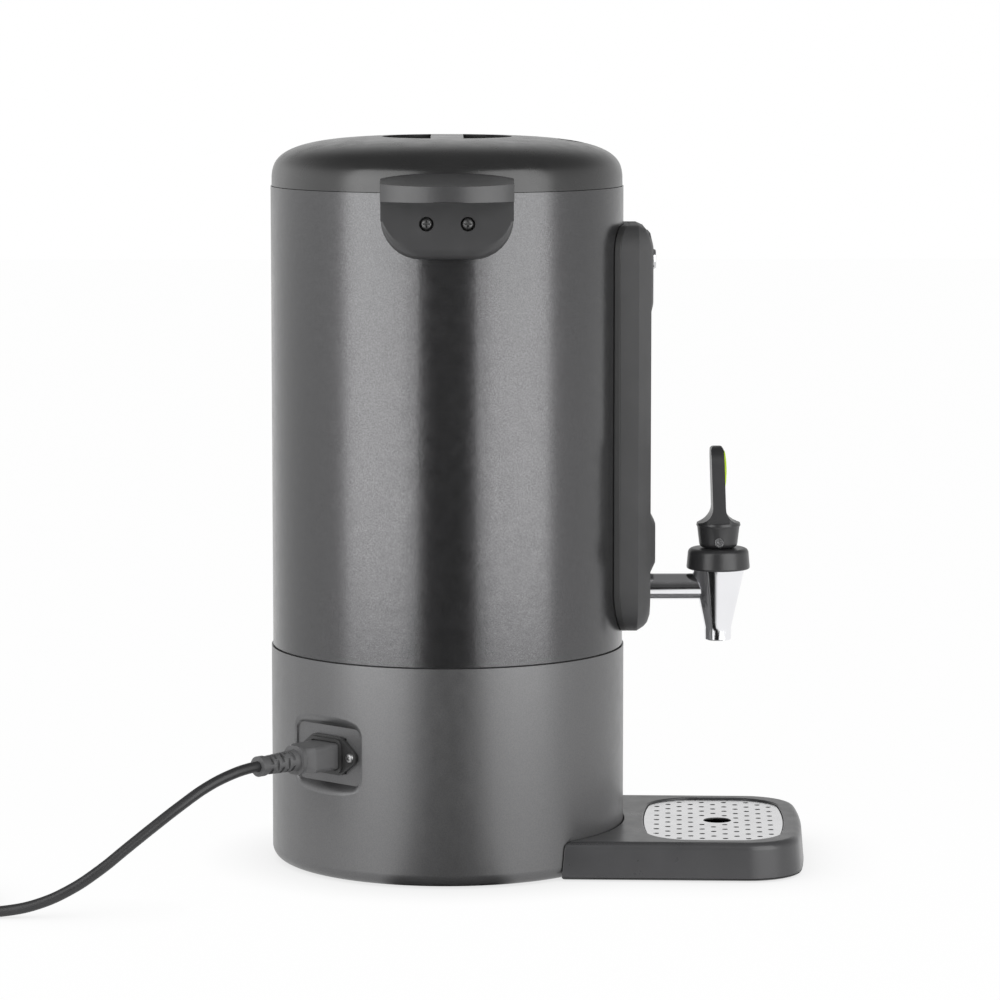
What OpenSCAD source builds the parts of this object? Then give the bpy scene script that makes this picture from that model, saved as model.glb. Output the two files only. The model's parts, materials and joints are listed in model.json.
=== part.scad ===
// Hot water urn: a double-walled boiler with a lift-off lid, two carry handles, a front panel with a
// sight glass, a self-closing tap, a drip tray and a detachable mains lead.
// Millimetres, +Z up. The origin is on the urn's vertical axis, at the table.
// The tap and the drip tray face -Y, and the carry handles lie along X.

/* [Upper body] */
// Outer radius of the upper shell
shell_r = 109; // [100:0.5:120]
// Height of the upper shell, from the seam to the rim
shell_h = 285; // [275:1:330]
// Sheet thickness of the upper shell
shell_t = 1; // [0.8:0.1:1.4]
// Width of the groove that shows between two stacked housings
seam_gap = 0.8; // [0.4:0.1:1.2]
// Air gap between the shell and the water tank
air_gap = 4.2; // [3.6:0.1:6]

/* [Base housing] */
// Height of the base housing, up to the seam
base_h = 135; // [125:1:150]
// How far the base housing stands proud of the shell
base_step = 0.9; // [0.4:0.1:2]
// Sheet thickness of the base housing
base_t = 1.2; // [0.8:0.1:1.6]
// Radius of the rolled edge at the bottom
base_fillet = 8; // [6:0.5:12]
// Height of the foot ring below the base housing
foot_h = 0.6; // [0.4:0.1:3]
// Mean radius of the foot ring
foot_r = 76; // [60:1:82]
// Width of the foot ring
foot_w = 9; // [6:0.5:12]
// Number of vent slots in the base plate
vent_slots = 12; // [8:1:16]

/* [Water tank] */
// Wall thickness of the tank
tank_t = 0.8; // [0.6:0.1:1.2]
// Height of the tank's floor above the seam
tank_lift = 15; // [14:0.5:18]
// Radius of the corner between the tank's floor and wall
tank_corner = 6; // [4:0.5:7]
// Depth of the shelf that carries the tank's rim, below the shell's rim
rim_drop = 1.2; // [1:0.1:2]

/* [Heater] */
// Radius of the cast plate under the tank
plate_r = 62; // [50:1:64]
// Thickness of the cast plate
plate_t = 4.5; // [3:0.5:6]
// Radius of the ring that the heating element makes
element_r = 48; // [40:1:52]
// Radius of the heating element's own tube
element_d = 3.3; // [2.5:0.1:3.6]

/* [Lid] */
// Height of the lid above the shell's rim
lid_h = 30.5; // [26:0.5:40]
// How far the lid's edge lies inside the shell's
lid_step = 0.6; // [0:0.1:2]
// Wall thickness of the lid
lid_t = 2.4; // [1.8:0.1:3]
// Fullness of the lid's crown: 2 is an ellipse, more is squarer
lid_power = 3.5; // [2.6:0.1:5]
// Radius of the round finger recess in the lid
well_r = 40; // [34:0.5:48]
// Depth of the finger recess
well_depth = 13; // [9:0.5:15]
// Width of the grip bar across the recess
grip_w = 20; // [16:0.5:26]
// Radius of the steam vent
vent_r = 8; // [5:0.5:10]
// Distance of the steam vent from the lid's centre
vent_x = 76; // [70:0.5:80]
// Depth of the plug that enters the tank
plug_h = 9; // [7:0.5:14]

/* [Carry handles] */
// Width of a carry handle
handle_w = 79; // [66:1:90]
// How far a carry handle stands out from the shell
handle_reach = 44; // [36:1:52]
// Height of the handle's front band
handle_band = 11.2; // [8:0.2:14]
// Height from the handle's lowest edge up to the underside of its front band
handle_drop = 35.6; // [32:0.2:42]
// Radius of the handle's lower corners
handle_corner = 24; // [20:1:32]
// Distance between the two screws of one handle
handle_pitch = 24.6; // [18:0.2:32]
// Radius of a handle screw's head
screw_head_r = 3.85; // [3:0.05:4.2]

/* [Front panel] */
// Width of the front panel
panel_w = 77; // [72:1:84]
// Height of the front panel
panel_h = 253; // [250:1:258]
// Height of the panel's lower end above the seam
panel_lift = 8.5; // [6:0.5:12]
// Radius of the panel's upper corners
panel_top_r = 16; // [10:1:22]
// Radius of the panel's lower corners
panel_low_r = 28; // [20:1:32]
// Thickness of the saddle frame between the panel and the shell
frame_t = 3.8; // [2.5:0.1:5]
// Depth of the panel's front face, measured from the shell
panel_depth = 16.4; // [15.5:0.1:18]
// Width of the bevel on each side of the panel
panel_bevel = 10.5; // [6:0.5:12]
// Wall thickness of the panel
panel_t = 2.4; // [1.8:0.1:2.6]
// Width of the slot that shows the sight glass
window_w = 11; // [10.4:0.2:14]

/* [Sight glass] */
// Outer radius of the sight glass
glass_r = 5; // [4:0.1:5.2]
// Length of the sight glass
glass_len = 140; // [130:1:142]
// Height of the sight glass's lower end above the seam
glass_lift = 68; // [66:0.5:70]

/* [Power button] */
// Height of the power button above the seam
button_lift = 239.4; // [238:0.2:242]
// Radius of the chrome bezel
bezel_r = 6.3; // [5:0.1:7]
// Travel of the power button
button_travel = 2; // [1:0.25:2]

/* [Tap] */
// Distance of the tap from the shell
tap_reach = 60; // [56:0.5:70]
// Height of the tap's shank above the seam
tap_lift = 34.6; // [32:0.2:37]
// Radius of the chrome tube over the shank
tube_r = 8.25; // [7.8:0.05:9]
// Radius of the threaded shank
shank_r = 7; // [6:0.1:7]
// Radius of the shank's bore
shank_bore = 4.6; // [3.5:0.1:5]
// Radius of the tap body at its top
cone_top_r = 16.6; // [15.5:0.1:19]
// Radius of the outlet nozzle
nozzle_r = 8.4; // [7.8:0.1:9]
// Radius of the outlet's bore
outlet_r = 5.2; // [4.5:0.1:5.5]
// Height of the tap body
cone_h = 44.7; // [42:0.1:50]
// Outer radius of the bonnet
bonnet_r = 19.8; // [18.8:0.1:23]
// Height of the bonnet
bonnet_h = 13; // [11:0.2:16]
// Radius of the stem
stem_r = 2.8; // [2.2:0.1:3]

/* [Tap handle] */
// Radius of the handle's foot
foot_cam_r = 13.8; // [12:0.1:15]
// Height of the handle above the bonnet
lever_h = 64; // [54:0.5:80]
// Thickness of the lever's blade
blade_t = 8; // [6:0.2:9]
// Width of the lever's blade
blade_w = 24; // [18:0.5:26]
// Height of the handle's pin above the bonnet
pin_lift = 4.4; // [4:0.1:5]
// Radius of the handle's pin
pin_r = 1.6; // [1.2:0.1:1.8]

/* [Drip tray] */
// Width of the drip tray
tray_w = 165; // [152:1:176]
// Height of the drip tray
tray_h = 24; // [18:0.5:30]
// Distance from the base housing to the tray's front edge
tray_reach = 113.1; // [105:0.1:125]
// Radius of the tray's front corners
tray_corner = 30; // [18:1:34]
// Bow of the tray's front end
tray_bow = 6; // [2:0.5:10]
// Turn of the tray round the urn, away from the tap's plane, in degrees
tray_turn = 3; // [0:0.5:8]
// Wall thickness of the tray
tray_t = 2.4; // [1.8:0.1:3]
// Width of the grille
grille_w = 138; // [120:1:140]
// Length of the grille, front to back
grille_len = 87; // [78:1:90]
// Radius of the grille's corners
grille_corner = 24; // [16:1:28]
// Bow of the grille's front and back ends
grille_bow = 6; // [2:0.5:8]
// Radius of one small hole in the grille
hole_r = 1.75; // [1.2:0.05:2.2]
// Number of rows of holes, front to back
hole_rows = 11; // [9:2:11]
// Distance between two holes in one row
hole_pitch = 14.8; // [13:0.1:17]
// Radius of the hole below the nozzle
drain_r = 8.75; // [7:0.25:11]

/* [Mains inlet] */
// Height of the inlet's centre above the table
inlet_z = 77.5; // [70:0.5:84]
// Width of the stamped pocket round the inlet
pocket_w = 62; // [60:1:66]
// Height of the stamped pocket
pocket_h = 44; // [40:1:48]
// Depth of the pocket at its middle
pocket_depth = 5.2; // [4.5:0.1:7]
// Distance between the inlet's two screws
inlet_pitch = 40; // [38:0.5:40]

/* [Hidden] */
$fn = 96;

// Clearances and small allowances shared by several pieces
touch = 0.05;     // between two pieces that are pressed or clamped together
run = 0.3;        // between two bodies that move past each other
slip = 0.25;      // between a screw's shank and its hole
eps = 0.01;       // overshoot of a cut past a face

// Radii and heights of the stacked housings
base_r = shell_r + base_step;
base_top = base_h - seam_gap / 2;
shell_z0 = base_h + seam_gap / 2;
shell_z1 = base_h + shell_h;
shell_ri = shell_r - shell_t;
tank_ro = shell_ri - air_gap;
tank_ri = tank_ro - tank_t;
tank_z0 = base_h + tank_lift;
shelf_z = shell_z1 - rim_drop;
flange_r = shell_r - 12;
seat_r = (flange_r + shell_ri) / 2;
screw_count = 4;
chassis_t = 1.5;
chassis_z0 = shell_z0 + shell_t + touch;
chassis_in = shell_r - 43;
standoff_r = tank_ri - 20;
m4_r = 2;
m4_head = 3.6;
lip_r = base_r - base_fillet - 12;
bottom_z = foot_h;
ground_t = 2;

// Rounded outlines
function arc(x, y, r, a0, a1, n = 8) =
    [for (i = [0:n]) let (a = a0 + (a1 - a0) * i / n) [x + r * cos(a), y + r * sin(a)]];
function outline(w, h, top_r, low_r) = concat(
    arc(w / 2 - low_r, low_r, low_r, -90, 0),
    arc(w / 2 - top_r, h - top_r, top_r, 0, 90),
    arc(top_r - w / 2, h - top_r, top_r, 90, 180),
    arc(low_r - w / 2, low_r, low_r, 180, 270));
// The upper half of an outline whose end is bowed
function bowed(w, h, r, bow) = [for (q = concat(arc(w / 2 - r, h - r, r, 0, 90),
    [for (i = [1:7]) [(w / 2 - r) * (1 - i / 4), h]], arc(r - w / 2, h - r, r, 90, 180)))
        [q.x, q.y - bow * pow(2 * q.x / w, 2)]];
module bowed_slab(w, h, r, bow, t) {
    half = bowed(w, h / 2, r, bow);
    linear_extrude(t) polygon(concat(half, -half));
}
module slab(w, h, r, t) {
    linear_extrude(t) translate([0, -h / 2]) polygon(outline(w, h, r, r));
}
// A slab or a rod that points away from the urn's axis, towards the tap
module forward(y) { translate([0, -y, 0]) rotate([90, 0, 0]) children(); }
module ring(count, r, start = 0) {
    for (i = [0:count - 1]) rotate([0, 0, start + 360 * i / count]) translate([r, 0, 0]) children();
}
module tube(r, bore, h) {
    difference() {
        cylinder(r = r, h = h);
        translate([0, 0, -eps]) cylinder(r = bore, h = h + 2 * eps);
    }
}
// A sweep with round cross-section along a list of points
function unit(v) = v / norm(v);
function along(p, i) = unit(p[min(i + 1, len(p) - 1)] - p[max(i - 1, 0)]);
function side(t) = unit(cross(t, abs(t.z) > 0.9 ? [1, 0, 0] : [0, 0, 1]));
module sweep(path, r, sides = 8) {
    n = len(path);
    rings = [for (i = [0:n - 1]) let (t = along(path, i), u = side(t), v = cross(u, t))
        for (k = [0:sides - 1]) path[i] + r * (u * cos(360 * k / sides) + v * sin(360 * k / sides))];
    walls = [for (i = [0:n - 2]) for (k = [0:sides - 1])
        [i * sides + k, i * sides + (k + 1) % sides,
         (i + 1) * sides + (k + 1) % sides, (i + 1) * sides + k]];
    caps = [[for (k = [sides - 1:-1:0]) k], [for (k = [0:sides - 1]) (n - 1) * sides + k]];
    polyhedron(rings, concat(walls, caps), convexity = 6);
}

// ---- Base ----
pocket_floor = base_r - pocket_depth;
pocket_slope = 4.5;
pocket_r = 9;
inlet_turn = 136.5;
module at_inlet() { rotate([0, 0, inlet_turn]) translate([0, 0, inlet_z]) rotate([90, 0, 90]) children(); }
// The pocket's space, grown by a wall thickness
module pocket_space(wall) {
    hull() {
        translate([0, 0, pocket_floor - wall])
            slab(pocket_w - 2 * pocket_slope + 2 * wall, pocket_h - 2 * pocket_slope + 2 * wall,
                 pocket_r - 4 + wall, 0.1);
        translate([0, 0, base_r + 1]) slab(pocket_w + 2 * wall, pocket_h + 2 * wall, pocket_r + wall, 0.1);
    }
}
module base_profile() {
    polygon(concat(
        [[lip_r, bottom_z]],
        arc(base_r - base_fillet, bottom_z + base_fillet, base_fillet, -90, 0, 12),
        [[base_r, base_top], [flange_r, base_top], [flange_r, base_top - base_t],
         [base_r - base_t, base_top - base_t]],
        arc(base_r - base_fillet, bottom_z + base_fillet, base_fillet - base_t, 0, -90, 12),
        [[lip_r, bottom_z + base_t]]));
}
module base_housing() {
    color([0.27, 0.27, 0.28]) difference() {
        union() {
            rotate_extrude() base_profile();
            intersection() {
                translate([0, 0, 20]) cylinder(r = base_r, h = base_h - 40);
                at_inlet() pocket_space(base_t);
            }
        }
        at_inlet() pocket_space(0);
        at_inlet() translate([0, 0, pocket_floor - 5]) linear_extrude(8)
            square([inlet_body_w + 1, inlet_body_h + 1], center = true);
        at_inlet() for (s = [-1, 1]) translate([s * inlet_pitch / 2, 0, pocket_floor - 5])
            cylinder(r = inlet_screw_r + slip, h = 8);
        ring(screw_count, seat_r, 45) translate([0, 0, base_top - 5]) cylinder(r = m4_r + slip, h = 10);
        ring(3, lip_r + 5, 30) translate([0, 0, -1]) cylinder(r = base_screw_r + slip, h = 10);
    }
}
base_screw_r = 1.7;
plate_z = bottom_z + base_t + touch;
module base_plate() {
    color([0.12, 0.12, 0.12]) difference() {
        union() {
            translate([0, 0, plate_z]) cylinder(r = lip_r + 10, h = ground_t);
            ring(3, lip_r + 5, 30) translate([0, 0, plate_z]) cylinder(r = 3.6, h = 8);
        }
        translate([0, 0, plate_z - eps]) rotate_extrude() translate([foot_r - foot_w / 2 - touch, 0])
            square([foot_w + 2 * touch, 1]);
        ring(3, lip_r + 5, 30) translate([0, 0, plate_z - 1]) cylinder(r = base_screw_r + touch, h = 8);
        ring(vent_slots, 44) translate([-14, -1.5, plate_z - 1]) cube([28, 3, 5]);
    }
}
module foot_ring() {
    color([0.08, 0.08, 0.08]) rotate_extrude() translate([foot_r - foot_w / 2, 0])
        square([foot_w, plate_z + 1 - touch]);
}
module screw(r, head_r, head_h, len) {
    cylinder(r = r, h = len);
    translate([0, 0, -head_h]) difference() {
        cylinder(r = head_r, h = head_h + eps);
        for (a = [0, 90]) rotate([0, 0, a]) translate([-head_r * 0.55, -head_r * 0.12, -eps])
            cube([head_r * 1.1, head_r * 0.24, head_h * 0.5]);
    }
}
module base_screws() {
    color("silver") ring(3, lip_r + 5, 30) translate([0, 0, bottom_z - touch])
        screw(base_screw_r, 3.2, bottom_z - 2 * touch, 7.5);
}
module seam_ring() {
    color([0.05, 0.05, 0.05]) difference() {
        translate([0, 0, base_top + touch])
            tube(shell_r - 0.9, flange_r, seam_gap - 2 * touch);
        ring(screw_count, seat_r, 45) translate([0, 0, base_top - 5]) cylinder(r = m4_r + slip, h = 10);
    }
}
module chassis_ring() {
    color([0.62, 0.63, 0.64]) difference() {
        translate([0, 0, chassis_z0]) tube(shell_ri - 0.6, chassis_in, chassis_t);
        ring(screw_count, seat_r, 45) translate([0, 0, chassis_z0 - 5]) cylinder(r = m4_r + touch, h = 10);
    }
}
module chassis_screws() {
    color("silver") ring(screw_count, seat_r, 45) translate([0, 0, base_top - base_t - touch])
        screw(m4_r, m4_head, 2.4, base_t + seam_gap + shell_t + chassis_t + 2);
}

// ---- Upper shell and tank ----
module shell_profile() {
    polygon([[flange_r, shell_z0], [shell_r, shell_z0], [shell_r, shell_z1], [shell_ri, shell_z1],
        [shell_ri, shelf_z], [tank_ro + run, shelf_z], [tank_ro + run, shelf_z - shell_t],
        [shell_ri, shelf_z - shell_t], [shell_ri, shell_z0 + shell_t], [flange_r, shell_z0 + shell_t]]);
}
tap_z = base_h + tap_lift;
glass_z0 = base_h + glass_lift;
glass_z1 = glass_z0 + glass_len;
elbow_offset = 6;
elbow_z = [glass_z0 - elbow_offset, glass_z1 + elbow_offset];
pipe_r = 4.5;
wire_r = 1.1;
wire_x = 14;
wire_z = tank_z0 + tank_corner + 6;
sleeve_r = 11.5;
handle_screw_z = shell_z1 - 17.5;
module outer_shell() {
    color([0.26, 0.26, 0.27]) difference() {
        rotate_extrude() shell_profile();
        ring(screw_count, seat_r, 45) translate([0, 0, shell_z0 - 5]) cylinder(r = m4_r + slip, h = 10);
        translate([0, 0, tap_z]) forward(shell_ri - 3) cylinder(r = sleeve_r + slip, h = 8);
        for (z = elbow_z) translate([0, 0, z]) forward(shell_ri - 3) cylinder(r = pipe_r + slip, h = 8);
        for (s = [-1, 1]) translate([s * wire_x, 0, wire_z]) forward(shell_ri - 5) cylinder(r = 2.8, h = 10);
        for (s = [-1, 1], t = [-1, 1]) translate([s * (shell_r - 4), t * handle_pitch / 2, handle_screw_z])
            rotate([0, s * 90, 0]) cylinder(r = rivnut_r + touch, h = 8);
    }
}
module tank_profile() {
    polygon(concat(
        [[0, tank_z0]],
        arc(tank_ro - tank_corner, tank_z0 + tank_corner, tank_corner, -90, 0),
        [[tank_ro, shelf_z + touch], [shell_ri - 0.4, shelf_z + touch],
         [shell_ri - 0.4, shelf_z + touch + tank_t], [tank_ri, shelf_z + touch + tank_t]],
        arc(tank_ro - tank_corner, tank_z0 + tank_corner, tank_corner - tank_t, 0, -90),
        [[0, tank_z0 + tank_t]]));
}
module inner_tank() {
    color([0.75, 0.76, 0.77]) difference() {
        rotate_extrude() tank_profile();
        translate([0, 0, tap_z]) forward(tank_ri - 6) cylinder(r = sleeve_r + touch, h = 10);
        for (z = elbow_z) translate([0, 0, z]) forward(tank_ri - 6) cylinder(r = pipe_r + touch, h = 10);
    }
}
module tank_standoffs() {
    color("silver") ring(screw_count, standoff_r, 0)
        translate([0, 0, chassis_z0 + chassis_t + touch])
            cylinder(r = 4, h = tank_z0 - chassis_z0 - chassis_t - 2 * touch);
}

// ---- Heater and electrics ----
plate_top = tank_z0 - touch;
plate_low = plate_top - plate_t;
module heating_plate() {
    color([0.7, 0.7, 0.7]) translate([0, 0, plate_low]) difference() {
        cylinder(r = plate_r, h = plate_t);
        translate([0, 0, -eps]) rotate_extrude() translate([element_r, 0])
            circle(r = element_d + touch, $fn = 48);
    }
}
element_gap = 25;
module heating_element() {
    far = 2 * element_r;
    color([0.45, 0.42, 0.4]) {
        translate([0, 0, plate_low]) difference() {
            rotate_extrude() translate([element_r, 0]) circle(r = element_d, $fn = 48);
            translate([0, 0, -element_d - 1]) linear_extrude(2 * element_d + 2) polygon([[0, 0],
                far * [-sin(element_gap), -cos(element_gap)], far * [sin(element_gap), -cos(element_gap)]]);
        }
        for (s = [-1, 1]) rotate([0, 0, -90 + s * (element_gap + 4)])
            translate([element_r, 0, plate_low - 20]) cylinder(r = element_d - 0.8, h = 20);
    }
}
module disc_switch(r, h) {
    color([0.82, 0.8, 0.74]) translate([0, 0, plate_low - touch - h]) cylinder(r = r, h = h);
    for (s = [-1, 1]) color("silver") translate([s * r * 0.5 - 0.4, -3.1, plate_low - touch - h - 7])
        cube([0.8, 6.2, 7.2]);
}
module thermostat() { disc_switch(8.5, 9); }
module thermal_cutout() { translate([0, 28, 0]) disc_switch(7.5, 7); }
block = [46, 15, 14];
block_y = chassis_in + 12;
block_z = chassis_z0 - touch - block.z;
module terminal_block() {
    color([0.9, 0.88, 0.82]) translate([-block.x / 2, block_y - block.y / 2, block_z]) difference() {
        cube(block);
        for (i = [0:3]) translate([block.x * (i + 0.5) / 4, block.y / 2, -eps]) cylinder(r = 2.6, h = 9);
    }
}
inlet_depth = 22;
tab_n = pocket_floor - inlet_depth - 8;
function inlet_point(t, n, z) =
    [n * cos(inlet_turn) - t * sin(inlet_turn), n * sin(inlet_turn) + t * cos(inlet_turn), z];
module supply_wires() {
    color([0.35, 0.25, 0.15]) for (i = [-1:1]) {
        goal = [block.x * (0.125 - i * 0.25), block_y, block_z + 1];
        sweep([inlet_point(i * 7, tab_n - touch, inlet_z), inlet_point(i * 7, tab_n - 8, inlet_z),
            inlet_point(i * 6, tab_n - 16, inlet_z + 14), [goal.x - 12, goal.y - 8, block_z - 22],
            [goal.x - 3, goal.y - 2, block_z - 10], goal], wire_r + 0.4);
    }
}

// ---- Lid ----
lid_r = shell_r - lid_step;
lid_z0 = shell_z1 + run;
lid_z1 = shell_z1 + lid_h;
// Height of the lid's skin above its edge, at a distance from the axis
function crown(r, edge, top) = top * pow(max(0, 1 - pow(r / edge, lid_power)), 1 / lid_power);
function crown_points(edge, top, n = 26) =
    [for (i = [0:n]) let (a = 90 * i / n, r = edge * pow(sin(a), 0.62)) [r, crown(r, edge, top)]];
module lid_solid(inset) {
    rotate_extrude() polygon(concat([[0, 0]], crown_points(lid_r - inset, lid_z1 - lid_z0 - inset)));
}
module well_shape(grow) {
    difference() {
        circle(r = well_r + grow);
        square([4 * well_r, grip_w - 2 * grow], center = true);
    }
}
lid_boss_r = 60;
liner_z0 = shell_z1 - rim_drop - plug_h;
liner_t = 1.6;
lid_screw_r = 1.5;
module lid_cover() {
    color([0.13, 0.13, 0.13]) difference() {
        union() {
            translate([0, 0, lid_z0]) difference() {
                lid_solid(0);
                translate([0, 0, -eps]) lid_solid(lid_t);
            }
            intersection() {
                translate([0, 0, lid_z0]) lid_solid(0.5);
                union() {
                    translate([0, 0, lid_z1 - well_depth - lid_t]) linear_extrude(well_depth) well_shape(lid_t);
                    ring(4, lid_boss_r, 45) translate([0, 0, lid_z0]) cylinder(r = 4, h = lid_h);
                    translate([0, -vent_x, lid_z0]) cylinder(r = vent_r + lid_t, h = lid_h);
                }
            }
        }
        translate([0, 0, lid_z1 - well_depth]) linear_extrude(well_depth + 5) well_shape(0);
        translate([0, -vent_x, lid_z0 - 5]) cylinder(r = vent_r, h = lid_h + 10);
        ring(4, lid_boss_r, 45) translate([0, 0, lid_z0 - 1]) cylinder(r = lid_screw_r + touch, h = 14);
    }
}
liner_flange_z = shelf_z + tank_t + run;
seal_w = 1.8;
plug_r = tank_ri - run - seal_w;
module lid_liner() {
    top = lid_z0 - touch;
    color([0.2, 0.2, 0.2]) difference() {
        rotate_extrude() polygon([[0, liner_z0], [plug_r, liner_z0], [plug_r, liner_z0 + 1.2],
            [plug_r - 1, liner_z0 + 1.2], [plug_r - 1, liner_z0 + 5.2], [plug_r, liner_z0 + 5.2],
            [plug_r, liner_flange_z], [lid_r - lid_t - 0.4, liner_flange_z],
            [lid_r - lid_t - 0.4, top], [plug_r - 1 - liner_t, top],
            [plug_r - 1 - liner_t, liner_z0 + liner_t], [0, liner_z0 + liner_t]]);
        ring(4, lid_boss_r, 45) translate([0, 0, liner_z0 - 1]) cylinder(r = lid_screw_r + slip, h = 5);
        translate([0, -vent_x, liner_z0 - 1]) cylinder(r = vent_r * 0.5, h = 5);
    }
    color([0.2, 0.2, 0.2]) ring(4, lid_boss_r, 45) translate([0, 0, liner_z0 + liner_t - eps])
        tube(4, lid_screw_r + slip, lid_z0 - liner_z0 - liner_t - touch);
}
module lid_seal() {
    color([0.86, 0.86, 0.84]) rotate_extrude() polygon([[plug_r - 1 + touch, liner_z0 + 1.3],
        [plug_r + seal_w * 0.5, liner_z0 + 1.3], [plug_r + seal_w, liner_z0 + 3],
        [plug_r + seal_w * 0.6, liner_z0 + 5.1], [plug_r - 1 + touch, liner_z0 + 5.1]]);
}
module lid_vent() {
    color([0.1, 0.1, 0.1]) translate([0, -vent_x, 0]) difference() {
        intersection() {
            translate([0, 0, lid_z0 + lid_h * 0.7]) cylinder(r = vent_r - touch, h = lid_h);
            translate([0, vent_x, lid_z0 - 0.8]) lid_solid(0.4);
        }
        for (i = [-1:1]) translate([i * vent_r * 0.5, 0, lid_z0]) linear_extrude(lid_h + 5)
            square([vent_r * 0.22, vent_r * 1.1], center = true);
    }
}
module lid_screws() {
    color("silver") ring(4, lid_boss_r, 45) translate([0, 0, liner_z0 - touch])
        screw(lid_screw_r, 2.8, 1.6, lid_z0 - liner_z0 + 9);
}

// ---- Carry handles ----
handle_out = shell_r + handle_reach;
band_z0 = shell_z1 - 3.4;
band_z1 = band_z0 + handle_band;
handle_z0 = band_z0 - handle_drop;
handle_back = shell_r + 0.15;
handle_crest = band_z1 + 4.1;
handle_pad = handle_back + 11;
handle_rim = handle_back + 2.2;
plan_r = 58;
rivnut_r = 3;
head_seat = shell_r + 7;
handle_shank_r = 2;
// Side view: X outwards, Y up. The pad behind the fingers, the fillet, the band and the scoop on top
function handle_side() = concat(
    [[handle_back - 20, handle_z0 - 1], [handle_pad, handle_z0 - 1]],
    arc(handle_pad + 12.5, band_z0 - 12.5, 12.5, 180, 92, 8),
    arc(handle_out - 1.4, band_z0 + 1.4, 1.4, -90, 0, 3),
    arc(handle_out - 1.4, band_z1 - 1.4, 1.4, 0, 90, 3),
    [[handle_out - 6, band_z1 - 0.2], [handle_out - 16, band_z1 - 0.2], [handle_out - 27, band_z1 + 0.7],
     [handle_out - 36, band_z1 + 2.3], [handle_back + 0.4, handle_crest],
     [handle_back - 20, handle_crest]]);
// Front view: X across, Y up, with large lower corners and an arched top edge
function handle_front(raise) = concat(
    arc(handle_w / 2 - handle_corner, handle_z0 + raise + handle_corner, handle_corner, -90, 0),
    [for (i = [0:12]) let (s = 1 - i / 6)
        [s * handle_w / 2, handle_crest - (handle_crest - band_z1 - 0.9) * pow(abs(s), 3)]],
    arc(handle_corner - handle_w / 2, handle_z0 + raise + handle_corner, handle_corner, 180, 270));
module handle_layer(x, raise) {
    rotate([90, 0, 90]) translate([0, 0, shell_r - 15]) linear_extrude(x - shell_r + 15)
        polygon(handle_front(raise));
}
module handle() {
    color([0.14, 0.14, 0.14]) difference() {
        intersection() {
            rotate([90, 0, 0]) linear_extrude(handle_w + 2, center = true) polygon(handle_side());
            union() {
                hull() {
                    for (a = [0:15:90]) handle_layer(handle_rim + (handle_pad - handle_rim) * sin(a), 7.5 - 7.5 * cos(a));
                }
                intersection() {
                    handle_layer(handle_out + 5, 0);
                    translate([0, -handle_w, band_z0 - 12.5]) cube([200, 2 * handle_w, 60]);
                }
            }
            translate([handle_out - plan_r, 0, handle_z0 - 1]) cylinder(r = plan_r, h = 80);
        }
        translate([0, 0, handle_z0 - 5]) cylinder(r = handle_back, h = 90, $fn = 180);
        for (t = [-1, 1]) translate([0, t * handle_pitch / 2, handle_screw_z]) rotate([0, 90, 0]) {
            translate([0, 0, shell_r - 3]) cylinder(r = rivnut_r + 1.7, h = 3 + 1.2);
            translate([0, 0, shell_r - 3]) cylinder(r = handle_shank_r + slip, h = 20);
            translate([0, 0, head_seat]) cylinder(r = screw_head_r + 0.5, h = 30);
        }
    }
}
module handle_left() { mirror([1, 0, 0]) handle(); }
module handle_right() { handle(); }
module at_handle_screws() {
    for (s = [-1, 1], t = [-1, 1]) translate([0, t * handle_pitch / 2, handle_screw_z])
        rotate([0, s * 90, 0]) children();
}
module handle_screws() {
    color([0.1, 0.1, 0.1]) at_handle_screws() translate([0, 0, head_seat + touch]) mirror([0, 0, 1])
        screw(handle_shank_r, screw_head_r, 2.6, 9);
}
module handle_rivnuts() {
    color("silver") at_handle_screws() {
        translate([0, 0, shell_ri - 2.6]) tube(rivnut_r, handle_shank_r + touch, 3.4);
        translate([0, 0, shell_r + touch]) tube(rivnut_r + 1.4, handle_shank_r + touch, 0.7);
    }
}

// ---- Front panel ----
panel_z0 = base_h + panel_lift;
frame_r = shell_r + frame_t;
panel_front = shell_r + panel_depth;
panel_ridge = panel_front - 8;
boss_out = [1.5, 3.6];
frame_w = 7;
module panel_plate(inset, top, low, y0, y1) {
    translate([0, 0, panel_z0 + low]) forward(y0) linear_extrude(y1 - y0)
        polygon(outline(panel_w - 2 * inset, panel_h - top - low,
            max(2, panel_top_r - inset), max(2, panel_low_r - inset)));
}
module panel_frame() {
    color([0.1, 0.1, 0.1]) difference() {
        intersection() {
            panel_plate(0, 0, 0, shell_r - 25, shell_r + 10);
            translate([0, 0, base_h]) cylinder(r = frame_r, h = shell_h, $fn = 180);
        }
        translate([0, 0, base_h - 1]) cylinder(r = shell_r + 0.12, h = shell_h + 2, $fn = 180);
        panel_plate(frame_w, frame_w, frame_w, shell_r - 30, shell_r + 20);
    }
}
// The panel's body, shrunk by a wall thickness for its hollow
module panel_body(wall) {
    hull() {
        panel_plate(wall, wall, wall, shell_r - 30, panel_ridge - wall);
        panel_plate(panel_bevel * 0.5 + wall, 2 + wall, 2.8 + wall, panel_ridge, panel_front - 3.6 - wall);
        panel_plate(panel_bevel * 0.8 + wall, 5 + wall, 5.4 + wall, panel_ridge, panel_front - 1.4 - wall);
        panel_plate(panel_bevel + wall, 9.5 + wall, 9.5 + wall, panel_ridge, panel_front - wall);
    }
}
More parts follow.
